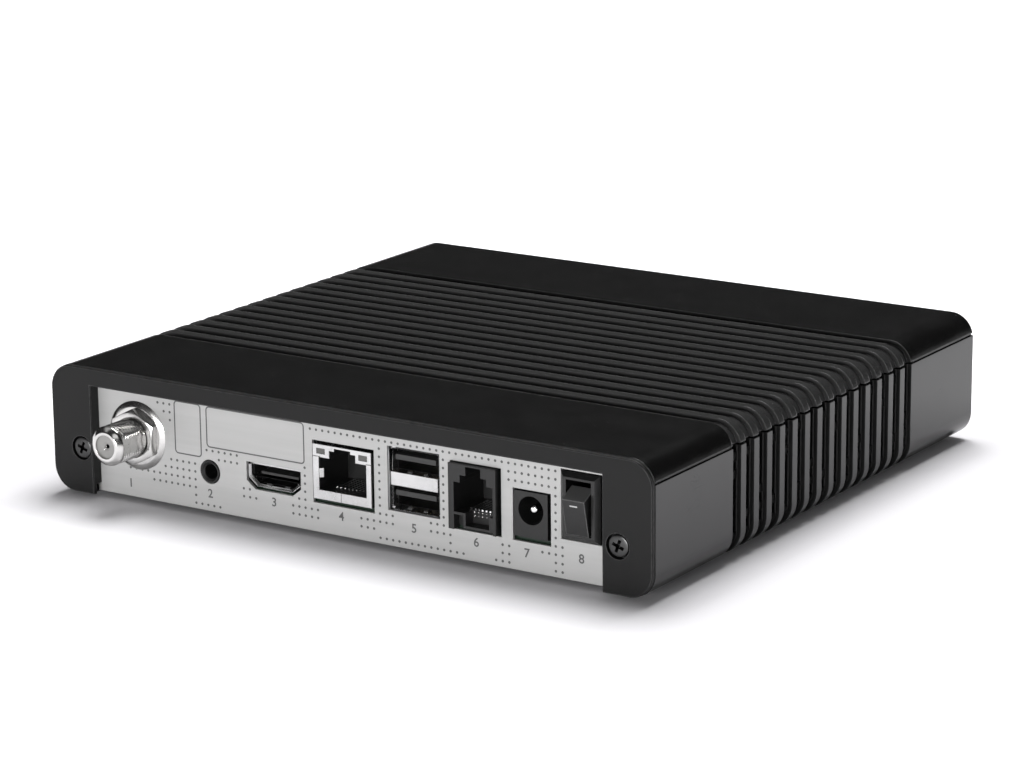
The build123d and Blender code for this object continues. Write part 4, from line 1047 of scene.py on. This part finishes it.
def shade_lining(bm, left, right, low, high, front, back):
    """Thin dark liner on the walls of a socket, and a plate at its back: painted shade that darkens
    the socket's inside.
    """
    for start, stop in (
        ((left, back, low), (right, front, low + SHADE_LINER)),
        ((left, back, high - SHADE_LINER), (right, front, high)),
        ((left, back, low), (left + SHADE_LINER, front, high)),
        ((right - SHADE_LINER, back, low), (right, front, high)),
        ((left, back - SHADE_LINER, low), (right, back, high)),
    ):
        slab(bm, spot(*start), spot(*stop))


# painted shade: dark sheets inside the USB and video sockets stand in for the shade in them
bm = bmesh.new()
for low, high in ((usb_low + usb_wall, bar_low), (bar_high, usb_top - usb_wall)):
    shade_lining(
        bm, usb_left + usb_wall, usb_right - usb_wall, low, high, usb_front - 2.8, usb_front - 9.0,
    )
shade_lining(
    bm, hdmi_left + hdmi_wall, hdmi_right - hdmi_wall, hdmi_knee, hdmi_top - hdmi_wall,
    hdmi_front - 1.4, hdmi_front - 6.5,
)
shade_lining(
    bm, hdmi_left + hdmi_slope[0], hdmi_right - hdmi_slope[0], hdmi_floor + hdmi_wall,
    hdmi_knee + SHADE_LINER, hdmi_front - 1.9, hdmi_front - 6.5,
)
piece("socket_shade_linings", bm, "jack_plastic")

# network socket: seams in its shield and a grounding spring at each side of the mouth
network_left, network_right = edges_of("network_shield")[:2]
network_front = depths_of("network_shield")[1]
mouth_middle = (network_left + network_right) / 2 + 0.15
mouth_left, mouth_right = mouth_middle - 6.6, mouth_middle + 6.6
mouth_low, mouth_top = board_face + 2.7, board_face + 10.4
seam, seam_depth = 0.13, 0.16
foot_seam = 82.55               # across, of the seam below the mouth
side_seam = mouth_top + 0.1
bm = trimmed(from_node("network_shield"), network_front, seam_depth, (
    ((foot_seam, board_face), (foot_seam + seam, mouth_low)),
    ((network_left - 1, side_seam), (mouth_left + 0.5, side_seam + seam)),
    ((mouth_right - 0.1, side_seam), (network_right + 1, side_seam + seam)),
))
piece("network_seamed_shield", bm, "shell_steel", stands_for=("network_shield",))

bm = bmesh.new()
for side, inward, low, high in ((mouth_left, 1, 13.5, 15.7), (mouth_right, -1, 12.3, 14.6)):
    wedge(bm, [
        spot(side + inward * reach, proud - back, level)
        for level in (low, high)
        for reach, proud in ((-0.15, network_front - 0.05), (0.75, network_front - 0.9))
        for back in (0.0, 0.12)
    ])
piece("network_springs", bm, "shell_steel")

CONTACT_TIP = 0.19              # radius
# first contact across, and the step to the next
NETWORK_CONTACT, NETWORK_PITCH = 79.3, 1.115
SENSOR_CONTACT, SENSOR_PITCH = 117.43, 1.06


def contact_end(bm, across, proud, high):
    """Rounded end of one contact wire."""
    tip = bmesh.ops.create_uvsphere(bm, u_segments=12, v_segments=8, radius=CONTACT_TIP * MM)
    bmesh.ops.translate(bm, verts=tip["verts"], vec=spot(across, proud, high))


bm = bmesh.new()
for index in range(6):
    contact_end(bm, NETWORK_CONTACT + index * NETWORK_PITCH, -2.5, mouth_low + 0.2)
piece("network_contact_ends", bm, "pin_nickel")

# sensor socket: ends of its contacts at the back of the well, in two rows
bm = bmesh.new()
for index in range(5):
    for high in (10.45, 11.27):
        contact_end(bm, SENSOR_CONTACT + index * SENSOR_PITCH, -1.8, high)
piece("sensor_contact_ends", bm, "pin_nickel")

# ------------------------------------------------------------------ strips in the case's seam
SEAM_DROP, SEAM_HEIGHT = 4.8 * MM, 0.5 * MM
seam_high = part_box("top_cover")[1].z - SEAM_DROP
seam_low = seam_high - SEAM_HEIGHT
strip_depth, strip_thick, strip_length = 0.45 * MM, 0.6 * MM, 32 * MM
bm = bmesh.new()
for front, rear in (
    (case_low.y + 0.1 * MM, case_low.y + strip_length),
    (case_high.y - strip_length, case_high.y - strip_depth),
):
    for inner, outer in (
        (case_low.x + strip_depth, case_low.x + strip_depth + strip_thick),
        (case_high.x - strip_depth - strip_thick, case_high.x - strip_depth),
    ):
        slab(bm, Vector((inner, front, seam_low)), Vector((outer, rear, seam_high)))
piece("seam_strips", bm, "cover_plastic")

# ------------------------------------------------------------------ rocker's mark
pivot = middle("switch_pivot")
rocker_tilt = radians(12.8)
rocker_face = 8.25              # from the pivot's axis
mark_along, mark_width, mark_height = 2.9, 1.9, 0.34
bm = bmesh.new()
wedge(bm, [
    pivot + Vector((
        side,
        rise * cos(rocker_tilt) + along * sin(rocker_tilt),
        along * cos(rocker_tilt) - rise * sin(rocker_tilt),
    )) * MM
    for side in (-mark_width / 2, mark_width / 2)
    for along in (mark_along - mark_height / 2, mark_along + mark_height / 2)
    for rise in (rocker_face - 0.1, rocker_face + 0.03)
])
white_ink = printed_ink("White ink", 0.42, 0.55)
piece("rocker_mark", bm, "rocker_plastic", body="rocker", material=white_ink)

# ------------------------------------------------------------------ studio
FLOOR_COLOUR = (0.86, 0.85, 0.875, 1.0)
FLOOR_PROFILE = [               # radius, height
    (0, 0), (600, 0), (1500, 0), (2600, 0), (3000, 20), (3400, 80), (3800, 170), (4100, 250),
]
FLOOR_SIDES = 96
FLOOR_NEAR = 0.008              # metres from the case at which the floor starts to glow
FLOOR_FAR = 0.055
FLOOR_GLOW = (0.0, 0.6)         # strength of the glow near the case and away from it; the lack of glow near the case paints shade round it


def lit_floor():
    """Floor with an upturned edge; its glow makes it white away from the case, and the glow fades
    out towards the case, which paints shade round the case on top of its real shadow.
    """
    bm = bmesh.new()
    lathe(bm, Vector(), FLOOR_PROFILE, steps=FLOOR_SIDES, closed=False)
    bmesh.ops.transform(bm, matrix=Matrix(((1, 0, 0), (0, 0, -1), (0, 1, 0))), verts=bm.verts)
    smoothed(bm)
    floor = add_object("floor", mesh_of("floor", bm))

    material, tree = blank_material("White floor")
    mirrored = vectors(tree, "ABSOLUTE", own_space(tree))
    beyond = vectors(tree, "SUBTRACT", mirrored, (case_high.x, panel_face, 0.0))
    away = vectors(tree, "LENGTH", vectors(tree, "MAXIMUM", beyond), result="Value")
    rays = put(tree, "LightPath").outputs
    seen = maths(tree, "ADD", rays["Is Camera Ray"], rays["Is Glossy Ray"])
    seen = maths(tree, "ADD", seen, rays["Is Transmission Ray"], clamp=True)
    # painted shade: the glow fades out towards the case's footprint, so the floor round the case
    # stays darker
    glow = spread(tree, away, FLOOR_NEAR, FLOOR_FAR, *FLOOR_GLOW)
    glow = maths(tree, "MULTIPLY", glow, seen)
    matte = put(tree, "BsdfDiffuse", {"Color": FLOOR_COLOUR}).outputs["BSDF"]
    emission = put(tree, "Emission", {"Color": (1, 1, 1, 1), "Strength": glow}).outputs["Emission"]
    both = put(tree, "AddShader", {0: matte, 1: emission}).outputs["Shader"]
    put(tree, "OutputMaterial", {"Surface": both})
    floor.data.materials.append(material)


def softbox(name, place, width, length, level, target=(0, 0.07, 0.015)):
    """Soft lamp, in metres; level 1 lights a white surface at the target to its own colour."""
    lamp = bpy.data.lights.new(name, "AREA")
    lamp.shape = "RECTANGLE"
    lamp.size = width
    lamp.size_y = length
    beam = Vector(target) - Vector(place)
    lamp.energy = level * pi * pi * beam.length_squared
    holder = add_object(name, lamp)
    holder.location = place
    holder.rotation_mode = "QUATERNION"
    holder.rotation_quaternion = beam.to_track_quat("-Z", "Y")


lit_floor()
softbox("overhead_softbox", (0.055, -0.33, 1.1), 0.68, 0.77, 1.16, target=(0, 0, 0))
softbox("low_fill", (-0.35, 2.4, 0.27), 1.4, 0.4, 0.78)
softbox("high_fill", (-0.5, 1.5, 1.3), 0.8, 0.6, 0.04)
softbox("side_card", (0.6, 0.37, 0.95), 0.55, 0.55, 0.04)

DIM_SKY = 0.028
world = bpy.data.worlds.new("Dim studio")
bpy.context.scene.world = world
world.use_nodes = True
backdrop = world.node_tree.nodes["Background"]
backdrop.inputs["Color"].default_value = (1.0, 1.0, 1.0, 1.0)
backdrop.inputs["Strength"].default_value = DIM_SKY

camera_data = bpy.data.cameras.new("camera")
camera_data.sensor_width = 36.0
camera_data.lens = 121.83
camera_data.clip_start = 0.01
camera_data.clip_end = 50.0
camera = add_object("camera", camera_data)
camera.location = (-0.44385, 0.67546, 0.23579)
look_yaw, look_pitch, look_roll = radians(33.305), radians(14.854), radians(-0.5747)
looking = Vector(
    (sin(look_yaw) * cos(look_pitch), -cos(look_yaw) * cos(look_pitch), -sin(look_pitch))
)
upright = looking.to_track_quat("-Z", "Y").to_matrix().to_4x4()
camera.rotation_mode = "QUATERNION"
camera.rotation_quaternion = (upright @ Matrix.Rotation(look_roll, 4, "Z")).to_quaternion()
bpy.context.scene.camera = camera
bpy.context.scene.view_settings.view_transform = "Standard"
